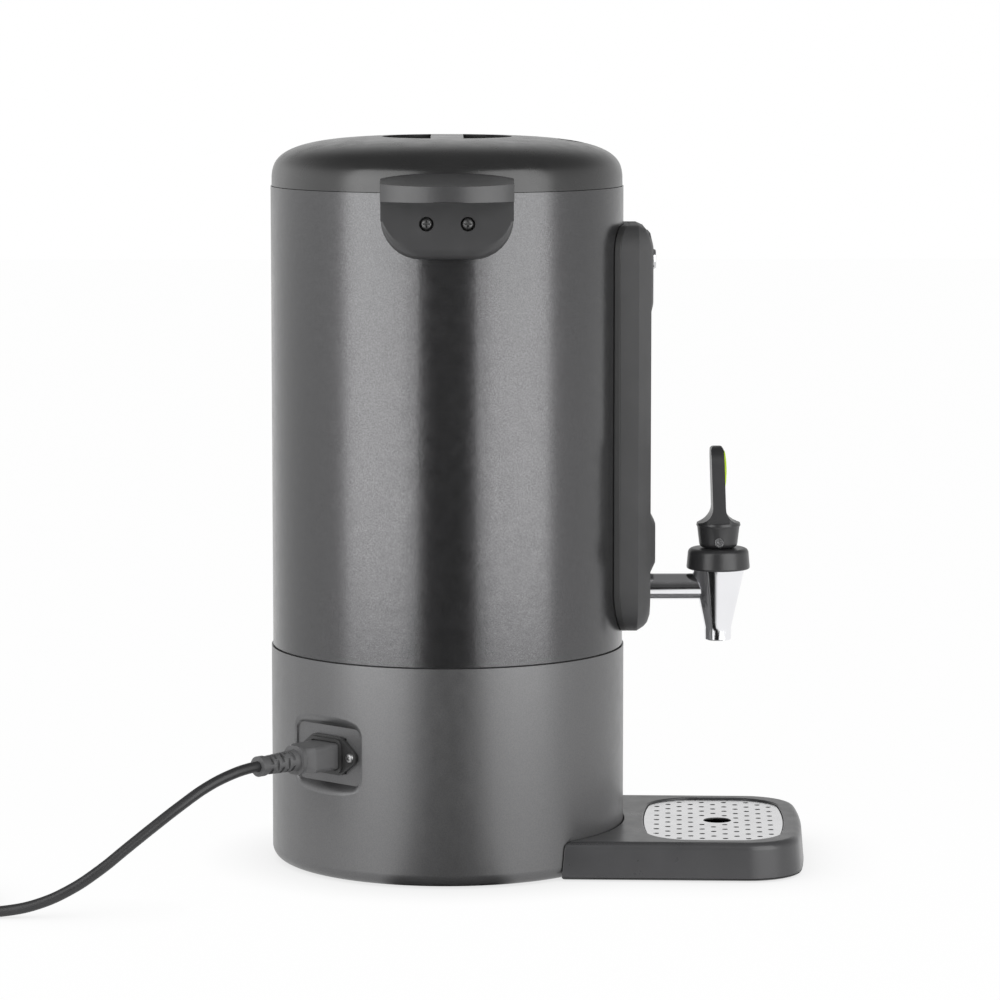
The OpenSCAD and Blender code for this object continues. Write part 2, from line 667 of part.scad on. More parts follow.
// A raised boss on the panel's face, between two heights above the panel's lower end
module panel_boss(z0, z1, half, out, spread, wall) {
    hull() {
        translate([0, 0, panel_z0 + z0 - spread + wall]) forward(panel_front - 2.5)
            linear_extrude(2) polygon(outline(2 * half + 10 - 2 * wall, z1 - z0 + 2 * spread - 2 * wall, 6, 6));
        translate([0, 0, panel_z0 + z0 + wall]) forward(panel_front) linear_extrude(out - wall)
            polygon(outline(2 * half - 2 * wall, z1 - z0 - 2 * wall, 4, 4));
    }
}
glass_y = shell_r + 8.2;
cup_r = 7;
window_z = [glass_z0 + 24.5, glass_z1 - 20.5];
button_z = base_h + button_lift;
button_y = panel_front + boss_out[0];
low_boss = [42.5, 67.5];
high_boss = [203.5, 240];
module front_panel() {
    color([0.16, 0.16, 0.16]) difference() {
        union() {
            panel_body(0);
            panel_boss(low_boss[0], low_boss[1], 14, boss_out[1], 8, 0);
            panel_boss(high_boss[0], high_boss[1], 20, boss_out[0], 8, 0);
        }
        translate([0, 0, base_h]) cylinder(r = frame_r + touch, h = shell_h, $fn = 180);
        panel_body(panel_t);
        for (z = elbow_z) translate([0, 0, z - 18]) linear_extrude(36)
            translate([-cup_r - 1, -glass_y - cup_r - 0.6]) square([2 * cup_r + 2, 30]);
        for (s = [0, 1]) translate([0, 0, window_z[s]]) forward(shell_r) cylinder(r = window_w / 2, h = 40);
        translate([-window_w / 2, -shell_r - 40, window_z[0]])
            cube([window_w, 40, window_z[1] - window_z[0]]);
        translate([0, 0, tap_z]) forward(shell_r) cylinder(r = tube_r + slip, h = 40);
        translate([0, 0, button_z]) forward(shell_r) cylinder(r = bezel_r - 0.6, h = 40);
        translate([0, 0, button_z]) forward(panel_front - panel_t - 2) cylinder(r = bezel_r + 1.2, h = 2.1);
    }
}

// ---- Sight glass ----
seal_r = glass_r + 1.1;
module sight_glass() {
    color([0.8, 0.9, 0.92, 0.5]) translate([0, -glass_y, glass_z0 + touch])
        tube(glass_r, glass_r - 1, glass_len - 2 * touch);
}
module glass_elbows() {
    color([0.1, 0.1, 0.1]) for (s = [0, 1]) translate([0, 0, elbow_z[s]]) mirror([0, 0, s]) difference() {
        union() {
            forward(tank_ri - 9) cylinder(r = pipe_r, h = glass_y - tank_ri + 9);
            forward(shell_r + 0.3) cylinder(r = cup_r, h = 2);
            translate([0, -glass_y, -elbow_offset]) cylinder(r = cup_r, h = elbow_offset * 2 + 6);
        }
        forward(tank_ri - 10) cylinder(r = pipe_r - 1.6, h = glass_y - tank_ri + 10);
        translate([0, -glass_y, -eps]) cylinder(r = glass_r - 1, h = 30);
        translate([0, -glass_y, elbow_offset]) cylinder(r = seal_r + touch, h = 30);
    }
}
module glass_seals() {
    color([0.6, 0.15, 0.1]) for (s = [0, 1]) translate([0, -glass_y, elbow_z[s]]) mirror([0, 0, s])
        translate([0, 0, elbow_offset + touch]) tube(seal_r, glass_r + touch, 7);
}
module glass_nuts() {
    color("silver") for (z = elbow_z) translate([0, 0, z]) forward(tank_ri - 8) difference() {
        cylinder(r = 8, h = 5, $fn = 6);
        translate([0, 0, -eps]) cylinder(r = pipe_r + touch, h = 6);
    }
}

// ---- Power button ----
switch_y0 = shell_r + 1;
button_r = bezel_r - 1.5;
module power_switch() {
    color([0.1, 0.1, 0.1]) translate([0, 0, button_z]) forward(switch_y0) {
        tube(bezel_r + 1, button_r + 0.7, panel_front - panel_t - switch_y0 - touch);
        cylinder(r = bezel_r + 1, h = 2);
    }
}
module button_bezel() {
    color("silver") translate([0, 0, button_z]) {
        forward(panel_front - panel_t) tube(bezel_r - 0.65, button_r + 0.3, button_y - panel_front + panel_t + 1);
        forward(button_y + touch) rotate_extrude() polygon([[button_r + 0.3, 0], [bezel_r, 0],
            [bezel_r, 1], [bezel_r - 0.5, 2.1], [button_r + 0.6, 2.3], [button_r + 0.3, 1.9]]);
    }
}
module power_button() {
    color([0.07, 0.07, 0.07]) translate([0, 0, button_z]) {
        forward(switch_y0 + 2 + button_travel + run)
            cylinder(r = button_r, h = button_y + 1.4 - switch_y0 - 2 - button_travel - run);
        forward(button_y + 1.4 - eps) rotate_extrude() polygon([[0, 0], [button_r, 0], [button_r - 0.5, 0.7], [0, 1]]);
    }
}
wire_y = shell_r + 4.5;
module switch_wires() {
    mid = shell_ri - air_gap / 2;
    color([0.3, 0.3, 0.32]) for (s = [-1, 1]) sweep([
        [s * wire_x, -chassis_in + 8, base_h - 12], [s * wire_x, -chassis_in + 8, chassis_z0 + 2],
        [s * wire_x, -chassis_in + 1, chassis_z0 + 7], [s * wire_x, -seat_r + 8, chassis_z0 + 7],
        [s * wire_x, -sqrt(mid * mid - wire_x * wire_x), wire_z - 9],
        [s * wire_x, -sqrt(mid * mid - wire_x * wire_x), wire_z - 3],
        [s * wire_x, -shell_r - 1.5, wire_z + 1], [s * wire_x, -wire_y, wire_z + 8],
        [s * wire_x, -wire_y, button_z - 22], [s * (bezel_r + 2.4), -wire_y, button_z - 8],
        [s * (bezel_r + 2.4), -wire_y, button_z]], wire_r);
}

// ---- Tap ----
tap_y = shell_r + tap_reach;
nozzle_z = tap_z - 33.3;
cone_z0 = nozzle_z + 8;
cone_z1 = nozzle_z + cone_h;
seat_z = nozzle_z + 12.7;
neck_r = cone_top_r - 1.6;
neck_h = 6;
bonnet_z0 = cone_z1 + touch;
bonnet_z1 = bonnet_z0 + bonnet_h;
sleeve_y = [tank_ri - 4, shell_r + 1];
nut_len = 7;
cup_bottom = seat_z + run;
cup_h = 9;
bonnet_roof = bonnet_z0 + neck_h + 0.4;
function cone_r(z) = nozzle_r + (cone_top_r - nozzle_r) * max(0, z - cone_z0) / (cone_z1 - cone_z0);
module outlet_sleeve() {
    color([0.75, 0.76, 0.77]) translate([0, 0, tap_z]) forward(sleeve_y[0])
        tube(sleeve_r, shank_r + slip, sleeve_y[1] - sleeve_y[0]);
}
module tap_body() {
    color([0.85, 0.85, 0.87]) difference() {
        union() {
            translate([0, -tap_y, 0]) rotate_extrude() polygon([[0, nozzle_z], [nozzle_r - 0.4, nozzle_z],
                [nozzle_r - 0.1, nozzle_z + 0.4], [nozzle_r, cone_z0], [cone_top_r, cone_z1],
                [neck_r, cone_z1], [neck_r, cone_z1 + neck_h], [0, cone_z1 + neck_h]]);
            translate([0, 0, tap_z]) forward(sleeve_y[0] - nut_len - 4)
                cylinder(r = shank_r, h = tap_y - sleeve_y[0] + nut_len + 4);
        }
        translate([0, 0, tap_z]) forward(sleeve_y[0] - nut_len - 5)
            cylinder(r = shank_bore, h = tap_y - sleeve_y[0] + nut_len + 5);
        translate([0, -tap_y, 0]) rotate_extrude() polygon([[0, nozzle_z - 1], [outlet_r, nozzle_z - 1],
            [outlet_r, seat_z], [nozzle_r - 0.9, seat_z], [nozzle_r - 0.9, seat_z + 7],
            [neck_r - 3, cone_z1 - 4], [neck_r - 3, cone_z1 + neck_h + 1], [0, cone_z1 + neck_h + 1]]);
    }
}
module tap_tube() {
    color([0.9, 0.9, 0.92]) difference() {
        translate([0, 0, tap_z]) forward(sleeve_y[1] + touch)
            tube(tube_r, shank_r + touch, tap_y - sleeve_y[1] - 2);
        translate([0, -tap_y, 0]) rotate_extrude() polygon([[0, nozzle_z], [nozzle_r + touch, nozzle_z],
            [nozzle_r + touch, cone_z0], [cone_top_r + touch, cone_z1], [0, cone_z1]]);
    }
}
module tap_gasket() {
    color([0.86, 0.86, 0.84]) translate([0, 0, tap_z]) forward(sleeve_y[0] - 1.6)
        tube(sleeve_r + 1, shank_r + slip, 1.6 - touch);
}
module tap_nut() {
    color("silver") translate([0, 0, tap_z]) forward(sleeve_y[0] - 1.6 - touch - nut_len) difference() {
        cylinder(r = 13.5, h = nut_len, $fn = 6);
        translate([0, 0, -eps]) cylinder(r = shank_r + touch, h = nut_len + 1);
    }
}
module tap_bonnet() {
    color([0.12, 0.12, 0.12]) translate([0, -tap_y, 0]) difference() {
        rotate_extrude() polygon(concat([[0, bonnet_z0], [bonnet_r - 0.5, bonnet_z0],
            [bonnet_r, bonnet_z0 + 0.8]], arc(bonnet_r - 4, bonnet_z1 - 3.2, 3.2, 0, 90, 6),
            [[0, bonnet_z1]]));
        translate([0, 0, bonnet_z0 - 1]) cylinder(r = neck_r + touch, h = neck_h + 1 + touch * 2);
        translate([0, 0, bonnet_z0]) cylinder(r = stem_r + run, h = bonnet_h + 1);
    }
}
pin_z = bonnet_z1 + pin_lift;
module tap_stem() {
    color([0.8, 0.8, 0.82]) translate([0, -tap_y, 0]) difference() {
        union() {
            translate([0, 0, cup_bottom + 3]) cylinder(r = stem_r, h = pin_z - cup_bottom - 3);
            translate([0, 0, pin_z]) sphere(r = stem_r, $fn = 48);
            translate([0, 0, cup_bottom + cup_h + touch]) cylinder(r = stem_r + 2.4, h = 1);
            translate([0, 0, cup_bottom + 3]) cylinder(r = stem_r + 1, h = 2);
        }
        translate([-10, 0, pin_z]) rotate([0, 90, 0]) cylinder(r = pin_r + 0.05, h = 20, $fn = 48);
    }
}
module seat_cup() {
    color([0.86, 0.84, 0.8]) translate([0, -tap_y, 0]) difference() {
        rotate_extrude() polygon([[0, cup_bottom], [outlet_r + 0.7, cup_bottom],
            [nozzle_r - 1.3, cup_bottom + 1.2], [nozzle_r - 1.3, cup_bottom + cup_h - 2],
            [nozzle_r - 2.3, cup_bottom + cup_h], [0, cup_bottom + cup_h]]);
        translate([0, 0, cup_bottom + 3 - touch]) cylinder(r = stem_r + touch, h = cup_h);
        translate([0, 0, cup_bottom + 3 - touch]) cylinder(r = stem_r + 1 + touch, h = 2 + 2 * touch);
    }
}
spring_z = [cup_bottom + cup_h + 2 * touch + 1, bonnet_roof - 3 * touch - 0.35];
module tap_spring() {
    wire = 0.5;
    turns = 7;
    steps = 16;
    lift = spring_z[1] - spring_z[0] - 2 * wire;
    color("silver") translate([0, -tap_y, 0]) sweep([for (i = [0:turns * steps]) let (a = 360 * i / steps)
        [(stem_r + 1.6) * cos(a), (stem_r + 1.6) * sin(a), spring_z[0] + wire + lift * i / (turns * steps)]],
        wire, 6);
}
cam_z0 = bonnet_z1 + run;
cam_h = 15.5;
lever_z1 = bonnet_z1 + lever_h;
blade_y = -1.3;
foot_taper = 0.87;
scoop_r = 10;
// Side view of the blade: X towards the user, Y up, with a scoop on both sides of its root
function lever_side() = concat(
    [[foot_cam_r, cam_z0 + cam_h - 1]],
    arc(blade_t / 2 + scoop_r, cam_z0 + cam_h + scoop_r, scoop_r, 270, 180, 7),
    arc(blade_t / 2 - 2.6 + blade_y, lever_z1 - 2.6, 2.6, 0, 90, 4),
    arc(-blade_t / 2 + 2.6 + blade_y, lever_z1 - 2.6, 2.6, 90, 180, 4),
    arc(-blade_t / 2 - scoop_r, cam_z0 + cam_h + scoop_r, scoop_r, 0, -90, 7),
    [[-foot_cam_r, cam_z0 + cam_h - 1]]);
module tap_handle() {
    color([0.13, 0.13, 0.13]) translate([0, -tap_y, 0]) difference() {
        union() {
            rotate_extrude() polygon(concat([[0, cam_z0]],
                arc(foot_cam_r * foot_taper - 3, cam_z0 + 3, 3, -90, 0, 5),
                [[foot_cam_r - 0.6, cam_z0 + cam_h - 2.5], [foot_cam_r, cam_z0 + cam_h - 1.5],
                 [foot_cam_r - 0.3, cam_z0 + cam_h], [0, cam_z0 + cam_h]]));
            intersection() {
                rotate([90, 0, -90]) linear_extrude(blade_w, center = true) polygon(lever_side());
                union() {
                    translate([0, 0, cam_z0 + cam_h - 1]) cylinder(r = foot_cam_r - 0.3, h = scoop_r);
                    translate([0, 0, cam_z0 + cam_h - 1]) rotate([90, 0, 0]) linear_extrude(13, center = true)
                        polygon(outline(blade_w, lever_z1 - cam_z0 - cam_h + 1, blade_w / 2 - 0.5, 2));
                }
            }
        }
        translate([-stem_r - run, -stem_r - 2.8, cam_z0 - 1])
            cube([2 * (stem_r + run), 2 * (stem_r + 2.8), pin_z - cam_z0 + stem_r + 2]);
        translate([-20, 0, pin_z]) rotate([0, 90, 0]) cylinder(r = pin_r + 0.02, h = 40, $fn = 48);
        for (s = [0, 1]) mirror([s, 0, 0]) translate([pin_seat, 0, pin_z]) rotate([0, 90, 0])
            cylinder(r = pin_head_r + 0.1, h = 10, $fn = 48);
        translate([0, blade_y_front + 1, insert_z - 0.1]) rotate([90, 0, 0]) linear_extrude(5)
            polygon(outline(insert_w + 0.2, insert_len + 0.2, insert_w / 2, insert_w / 2));
    }
}
pin_head_r = 2.8;
pin_seat = foot_cam_r * foot_taper - 2.4;
insert_w = 12;
insert_len = 25;
insert_r = 70;
insert_z = lever_z1 - insert_len - 3;
blade_y_front = -blade_t / 2 - blade_y;
module handle_insert() {
    color([0.6, 0.8, 0.1]) translate([0, -tap_y + blade_y_front + 1 - touch, insert_z]) intersection() {
        rotate([90, 0, 0]) linear_extrude(5) polygon(outline(insert_w, insert_len, insert_w / 2 - 0.1, insert_w / 2 - 0.1));
        translate([0, insert_r - 2.9, insert_len / 2]) rotate([0, 90, 0])
            cylinder(r = insert_r, h = 30, center = true, $fn = 256);
    }
}
module handle_pin() {
    color([0.25, 0.25, 0.26]) translate([0, -tap_y, pin_z]) {
        translate([-pin_seat - 0.5, 0, 0]) rotate([0, 90, 0]) cylinder(r = pin_r, h = 2 * pin_seat + 1, $fn = 48);
        for (s = [0, 1]) mirror([s, 0, 0]) translate([pin_seat + touch, 0, 0]) rotate([0, 90, 0])
            tube(pin_head_r, pin_r * 0.6, 1.6);
    }
}

// ---- Drip tray ----
tray_y1 = base_r + tray_reach;
tray_y0 = 60;
tray_gap = 0.5;
tray_floor = 3.4;
tray_z0 = 0.9;
tray_edge = 4.5;
tray_draft = 1.4;
grille_t = 1;
grille_y = tray_y1 - 13 - grille_len / 2;
seat_drop = 2.2;
module at_tray() { rotate([0, 0, -tray_turn]) children(); }
seat_z1 = tray_h - seat_drop;
module tray_layer(inset, z, h) {
    translate([0, 0, z]) linear_extrude(h) mirror([0, 1]) translate([0, tray_y0])
        polygon(concat([[inset - tray_w / 2, 0], [tray_w / 2 - inset, 0]],
            bowed(tray_w - 2 * inset, tray_y1 - tray_y0 - inset, tray_corner - inset, tray_bow)));
}
module drip_tray() {
    color([0.17, 0.17, 0.17]) at_tray() difference() {
        hull() {
            tray_layer(1, tray_z0, 0.1);
            tray_layer(0, tray_z0 + 1, 0.1);
            for (a = [0:15:90]) tray_layer(tray_draft + tray_edge - tray_edge * cos(a),
                tray_h - tray_edge + tray_edge * sin(a) - 0.1, 0.1);
        }
        translate([0, 0, -1]) cylinder(r = base_r + tray_gap, h = tray_h + 5, $fn = 180);
        translate([0, -grille_y, seat_z1])
            bowed_slab(grille_w + 1, grille_len + 1, grille_corner + 0.5, grille_bow, 5);
        translate([0, -grille_y, tray_floor])
            bowed_slab(grille_w - 7, grille_len - 7, grille_corner - 3.5, grille_bow, tray_h);
        difference() {
            translate([0, 0, -1]) linear_extrude(tray_h - tray_t + 1) mirror([0, 1]) translate([0, tray_y0 + 2])
                polygon(outline(tray_w - 2 * tray_t - 3, grille_y - grille_len / 2 - tray_y0 - 2, 2, 2));
            translate([0, 0, -2]) cylinder(r = base_r + tray_gap + tray_t, h = tray_h + 5, $fn = 180);
        }
    }
}
row_gap = (grille_len - 16) / (hole_rows - 1);
drain_y = tap_y;
module drip_grille() {
    color([0.8, 0.81, 0.82]) at_tray() difference() {
        translate([0, -grille_y, seat_z1 + touch])
            bowed_slab(grille_w, grille_len, grille_corner, grille_bow, grille_t);
        for (i = [0:hole_rows - 1]) {
            y = grille_y - (hole_rows - 1) * row_gap / 2 + i * row_gap;
            edge = max(0, grille_corner + grille_bow - (grille_len / 2 - abs(y - grille_y)));
            reach = grille_w / 2 - 6 - edge * edge / grille_corner / 1.5;
            offset_x = (i % 2) * hole_pitch / 2;
            for (k = [-6:6]) {
                x = k * hole_pitch + offset_x;
                if (abs(x) < reach && norm([x, y - drain_y]) > drain_r + hole_r + 2)
                    translate([x, -y, seat_z1 - 1]) cylinder(r = hole_r, h = 5, $fn = 24);
            }
        }
        translate([0, -drain_y, seat_z1 - 1]) cylinder(r = drain_r, h = 5);
    }
}
module tray_pads() {
    color([0.06, 0.06, 0.06]) at_tray() for (x = [-1, 1], y = [-1, 1])
        translate([x * (grille_w / 2 - 22), -grille_y + y * (grille_len / 2 - 18), run / 3])
            cylinder(r = 6, h = tray_z0 - run / 3 - touch);
}

// ---- Mains inlet ----
inlet_body_w = 28;
inlet_body_h = 21;
inlet_screw_r = 1.7;
inlet_flange = 2.6;
inlet_front = pocket_floor + touch + inlet_flange;
cavity = [24.6, 17.2];
collar = 2;
module inlet_socket() {
    color([0.13, 0.13, 0.13]) at_inlet() difference() {
        union() {
            hull() {
                translate([0, 0, pocket_floor + touch]) slab(inlet_body_w + 0.6, inlet_body_h + 2.6, 4, inlet_flange);
                for (s = [-1, 1]) translate([s * inlet_pitch / 2, 0, pocket_floor + touch])
                    cylinder(r = 4.4, h = inlet_flange, $fn = 32);
            }
            translate([0, 0, inlet_front - eps]) slab(inlet_body_w, inlet_body_h, 4, collar);
            translate([0, 0, pocket_floor - inlet_depth]) slab(inlet_body_w, inlet_body_h, 3, inlet_depth + 1);
        }
        translate([0, 0, inlet_front + collar - 15.5]) slab(cavity.x, cavity.y, 3, 20);
        for (s = [-1, 1]) translate([s * inlet_pitch / 2, 0, pocket_floor - 5])
            cylinder(r = inlet_screw_r + slip, h = 20);
        for (x = [-7, 0, 7]) translate([x - 1.1, -2.1, pocket_floor - inlet_depth - 1]) cube([2.2, 4.2, 20]);
    }
}
module inlet_pins() {
    color([0.8, 0.8, 0.8]) at_inlet() for (x = [-7, 0, 7]) translate([x - 1, -2, pocket_floor - inlet_depth - 8])
        cube([2, 4, inlet_depth + 4]);
}
module inlet_screws() {
    color("silver") at_inlet() for (s = [-1, 1])
        translate([s * inlet_pitch / 2, 0, inlet_front + touch]) mirror([0, 0, 1])
            screw(inlet_screw_r, 2.9, 1.8, 9);
}
nose = [23.6, 16.2];
connector_n = inlet_front + collar + run;
relief_n = connector_n + 27;
relief_len = 29;
relief_r = [6.6, 5.6];
cord_r = 3.25;
module cord_connector() {
    color([0.09, 0.09, 0.09]) at_inlet() difference() {
        union() {
            translate([0, 0, connector_n - 15]) slab(nose.x, nose.y, 2.6, 15.1);
            translate([0, 0, connector_n]) slab(nose.x - 0.2, nose.y, 2.6, 4.1);
            hull() {
                translate([0, 0, connector_n + 4]) slab(nose.x - 0.2, nose.y, 3, 14);
                translate([0, 0, connector_n + 23]) slab(16, 14.4, 5, 0.4);
            }
            translate([0, 0, connector_n + 22.6]) slab(17.6, 17.6, 7, 3);
            translate([0, 0, relief_n - 2]) cylinder(r1 = relief_r[0], r2 = relief_r[1], h = relief_len - 2);
            translate([0, 0, relief_n + relief_len - 4.2]) cylinder(r = relief_r[1] + 0.6, h = 4.2);
        }
        for (x = [-7, 0, 7]) translate([x - 1.2, -2.2, connector_n - 16]) cube([2.4, 4.4, 12.4]);
        for (i = [0:2], s = [-1, 1]) translate([0, s * relief_r[0], relief_n + 4.5 + i * 6.2 + (s > 0 ? 0 : 3.1)])
            translate([-10, -3, 0]) cube([20, 6, 1.3]);
        translate([0, 0, relief_n + relief_len - 3]) cylinder(r = cord_r + touch, h = 10);
    }
}

// ---- Mains lead: from the connector to a coil on the table, then to the plug ----
cord_start = inlet_point(0, relief_n + relief_len - 3 + touch, inlet_z);
lead_path = concat([cord_start], [
    [-124.5, 118.2, 77.5], [-134.5, 129.5, 75.2], [-145, 143.5, 69.5], [-154.5, 158, 60.5], [-162.5, 173.5, 49.5],
    [-170, 189, 38], [-177, 205, 26], [-182, 222, 15.5], [-185, 240, 8], [-186, 258, 4.2],
    [-186, 276, 3.3], [-185, 293, 3.3], [-184, 306, 3.3]]);
coil_centre = [-140, 318];
coil_r = [27.7, 47.3];
coil_h = 13;
tail_path = [[-134, 361.6, 9.8], [-118, 360, 9.8], [-102, 357, 10.4], [-88, 353.5, 12.2], [-76, 351, 14.3],
    [-66, 350, 15.5], [-58, 350, 15.5]];
plug_c = [-36, 350, 18.5];
cap_r = 18.4;
module mains_cord() { color([0.09, 0.09, 0.09]) sweep(lead_path, cord_r, 12); }
module cord_coil() {
    color([0.09, 0.09, 0.09]) translate([coil_centre.x, coil_centre.y, 0]) rotate_extrude()
        translate([coil_r[0], 0]) square([coil_r[1] - coil_r[0], coil_h]);
}
module coil_tie() {
    color([0.05, 0.05, 0.05]) translate([coil_centre.x, coil_centre.y, 0]) rotate([0, 0, -40])
        translate([(coil_r[0] + coil_r[1]) / 2, 0, coil_h + 0.8]) cube([20, 11, 1.4], center = true);
}
module cord_tail() { color([0.09, 0.09, 0.09]) sweep(tail_path, cord_r, 12); }
module mains_plug() {
    color([0.09, 0.09, 0.09]) translate(plug_c) rotate([0, 90, 0]) difference() {
        union() {
            translate([0, 0, 4]) cylinder(r = cap_r, h = 14);
            translate([0, 0, -10]) cylinder(r1 = 11, r2 = cap_r - 0.6, h = 14.1);
            translate([3, 0, -22 + touch]) cylinder(r1 = 4.6, r2 = 6.5, h = 14);
        }
        translate([0, 0, 17]) cylinder(r = cap_r - 2, h = 2);
    }
}
module plug_pins() {
    color([0.8, 0.8, 0.8]) translate(plug_c) for (s = [-1, 1])
        translate([17 + touch, s * 9.5, 0]) rotate([0, 90, 0]) {
            cylinder(r = 2.4, h = 17);
            translate([0, 0, 17]) sphere(r = 2.4, $fn = 32);
        }
}

base_housing();
base_plate();
foot_ring();
base_screws();
seam_ring();
chassis_ring();
chassis_screws();
outer_shell();
inner_tank();
tank_standoffs();
heating_plate();
heating_element();
thermostat();
thermal_cutout();
terminal_block();
supply_wires();
lid_cover();
lid_liner();
lid_seal();
lid_vent();
lid_screws();
handle_left();
handle_right();
handle_screws();
handle_rivnuts();
panel_frame();
front_panel();
sight_glass();
glass_elbows();
glass_seals();
glass_nuts();
power_button();
button_bezel();
power_switch();
switch_wires();
outlet_sleeve();
tap_body();
tap_tube();
tap_gasket();
tap_nut();
tap_bonnet();
tap_stem();
seat_cup();
tap_spring();
tap_handle();
handle_insert();
handle_pin();
drip_tray();
drip_grille();
tray_pads();
inlet_socket();
inlet_pins();
inlet_screws();
cord_connector();
mains_cord();
cord_coil();
coil_tie();
cord_tail();
mains_plug();
plug_pins();
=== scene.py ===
import json
import math

import bmesh
import bpy
from mathutils import Matrix, Vector

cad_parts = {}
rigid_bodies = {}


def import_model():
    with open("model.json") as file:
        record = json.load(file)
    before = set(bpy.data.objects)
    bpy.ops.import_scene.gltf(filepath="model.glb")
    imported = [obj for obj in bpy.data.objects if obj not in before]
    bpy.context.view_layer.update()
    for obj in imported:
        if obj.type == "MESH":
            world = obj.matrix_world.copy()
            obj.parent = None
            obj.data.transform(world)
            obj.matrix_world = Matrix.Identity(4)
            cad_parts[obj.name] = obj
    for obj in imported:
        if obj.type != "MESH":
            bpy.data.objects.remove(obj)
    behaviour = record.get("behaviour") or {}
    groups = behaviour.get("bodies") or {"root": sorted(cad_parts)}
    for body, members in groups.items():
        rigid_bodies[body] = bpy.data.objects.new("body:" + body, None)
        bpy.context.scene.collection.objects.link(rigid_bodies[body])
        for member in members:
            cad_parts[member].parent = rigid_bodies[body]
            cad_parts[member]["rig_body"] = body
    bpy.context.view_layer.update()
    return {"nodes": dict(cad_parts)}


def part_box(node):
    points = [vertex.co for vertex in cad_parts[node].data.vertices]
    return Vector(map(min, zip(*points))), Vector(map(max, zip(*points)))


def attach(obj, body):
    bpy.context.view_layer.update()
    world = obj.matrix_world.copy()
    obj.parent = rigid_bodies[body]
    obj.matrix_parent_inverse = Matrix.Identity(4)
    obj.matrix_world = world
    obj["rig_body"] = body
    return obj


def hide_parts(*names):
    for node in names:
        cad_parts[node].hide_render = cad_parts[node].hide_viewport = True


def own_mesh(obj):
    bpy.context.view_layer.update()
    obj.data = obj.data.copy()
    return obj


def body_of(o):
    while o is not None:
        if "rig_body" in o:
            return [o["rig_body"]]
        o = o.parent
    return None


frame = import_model()
scene = bpy.context.scene
scene.view_settings.view_transform = "Standard"
mm = 0.001

# ---- Camera ----
# A long lens on the side of the left carry handle, level with the lid and tipped down a little,
# so that the tap and the drip tray stand in profile at the right.
camera_yaw = math.radians(0.694)
camera_pitch = math.radians(6.731)
camera_data = bpy.data.cameras.new("camera")
camera_data.sensor_width = 36
camera_data.lens = 157.03
camera = bpy.data.objects.new("camera", camera_data)
camera.location = (-2.7, 0, 0.5428)
sight = Vector((math.cos(camera_yaw) * math.cos(camera_pitch),
                -math.sin(camera_yaw) * math.cos(camera_pitch), -math.sin(camera_pitch)))
camera.rotation_euler = sight.to_track_quat("-Z", "Y").to_euler()
scene.collection.objects.link(camera)
scene.camera = camera

# ---- Floor and light ----
# A pale seamless floor and two tall soft boxes, one on each side of the camera. The room is pale
# at the height of the urn, and dark above it and behind the camera.
# Lengths in metres, angles in degrees, power in watts
FLOOR_HALF = 6.0
FLOOR_WHITE = 0.8
FLOOR_GLOW = 0.985
CONTACT_SHADE = 0.24
CONTACT_REACH = 0.05
WEDGE_EDGES = (15, 25)
BOX_AZIMUTHS = (43.7, -43.3)
BOX_DISTANCE = 1.0
BOX_WIDTH = 0.86
BOX_HEIGHT = 1.3
BOX_POWER = 9.8

floor_mesh = bpy.data.meshes.new("floor")
floor_corners = [(x * FLOOR_HALF, y * FLOOR_HALF, 0) for x, y in ((-1, -1), (1, -1), (1, 1), (-1, 1))]
floor_mesh.from_pydata(floor_corners, [], [(0, 1, 2, 3)])
floor = bpy.data.objects.new("floor", floor_mesh)
scene.collection.objects.link(floor)
floor_paint = bpy.data.materials.new("floor_white")
floor_paint.use_nodes = True
nodes, links = floor_paint.node_tree.nodes, floor_paint.node_tree.links
nodes.remove(nodes["Principled BSDF"])
matte = nodes.new("ShaderNodeBsdfDiffuse")
matte.inputs["Color"].default_value = (FLOOR_WHITE, FLOOR_WHITE, FLOOR_WHITE, 1)
glow = nodes.new("ShaderNodeEmission")
# Gloss on the urn shows a dark wedge of floor between the two soft boxes
ground = nodes.new("ShaderNodeTexCoord")
flat = nodes.new("ShaderNodeVectorMath")
flat.operation = "NORMALIZE"
links.new(ground.outputs["Object"], flat.inputs[0])
ahead = nodes.new("ShaderNodeSeparateXYZ")
links.new(flat.outputs["Vector"], ahead.inputs[0])
wedge = nodes.new("ShaderNodeMapRange")
wedge.interpolation_type = "SMOOTHSTEP"
wedge.inputs["From Min"].default_value = -math.cos(math.radians(WEDGE_EDGES[0]))
wedge.inputs["From Max"].default_value = -math.cos(math.radians(WEDGE_EDGES[1]))
links.new(ahead.outputs["X"], wedge.inputs["Value"])
tone = nodes.new("ShaderNodeMix")
tone.data_type = "FLOAT"
tone.inputs["B"].default_value = 1.0
links.new(wedge.outputs["Result"], tone.inputs["A"])
path = nodes.new("ShaderNodeLightPath")
links.new(path.outputs["Is Camera Ray"], tone.inputs["Factor"])
seen = nodes.new("ShaderNodeMath")
seen.operation = "MAXIMUM"
links.new(path.outputs["Is Camera Ray"], seen.inputs[0])
links.new(path.outputs["Is Glossy Ray"], seen.inputs[1])
share = nodes.new("ShaderNodeMath")
share.operation = "MULTIPLY"
share.inputs[1].default_value = FLOOR_GLOW
links.new(seen.outputs[0], share.inputs[0])
# Ambient occlusion darkens the floor's glow near the urn and the tray: a painted contact shadow
contact = nodes.new("ShaderNodeAmbientOcclusion")
contact.samples = 8
contact.inputs["Distance"].default_value = CONTACT_REACH
shade = nodes.new("ShaderNodeMapRange")
shade.inputs["To Min"].default_value = 1 - CONTACT_SHADE
links.new(contact.outputs["AO"], shade.inputs["Value"])
shown = nodes.new("ShaderNodeMath")
shown.operation = "MULTIPLY"
links.new(shade.outputs["Result"], shown.inputs[0])
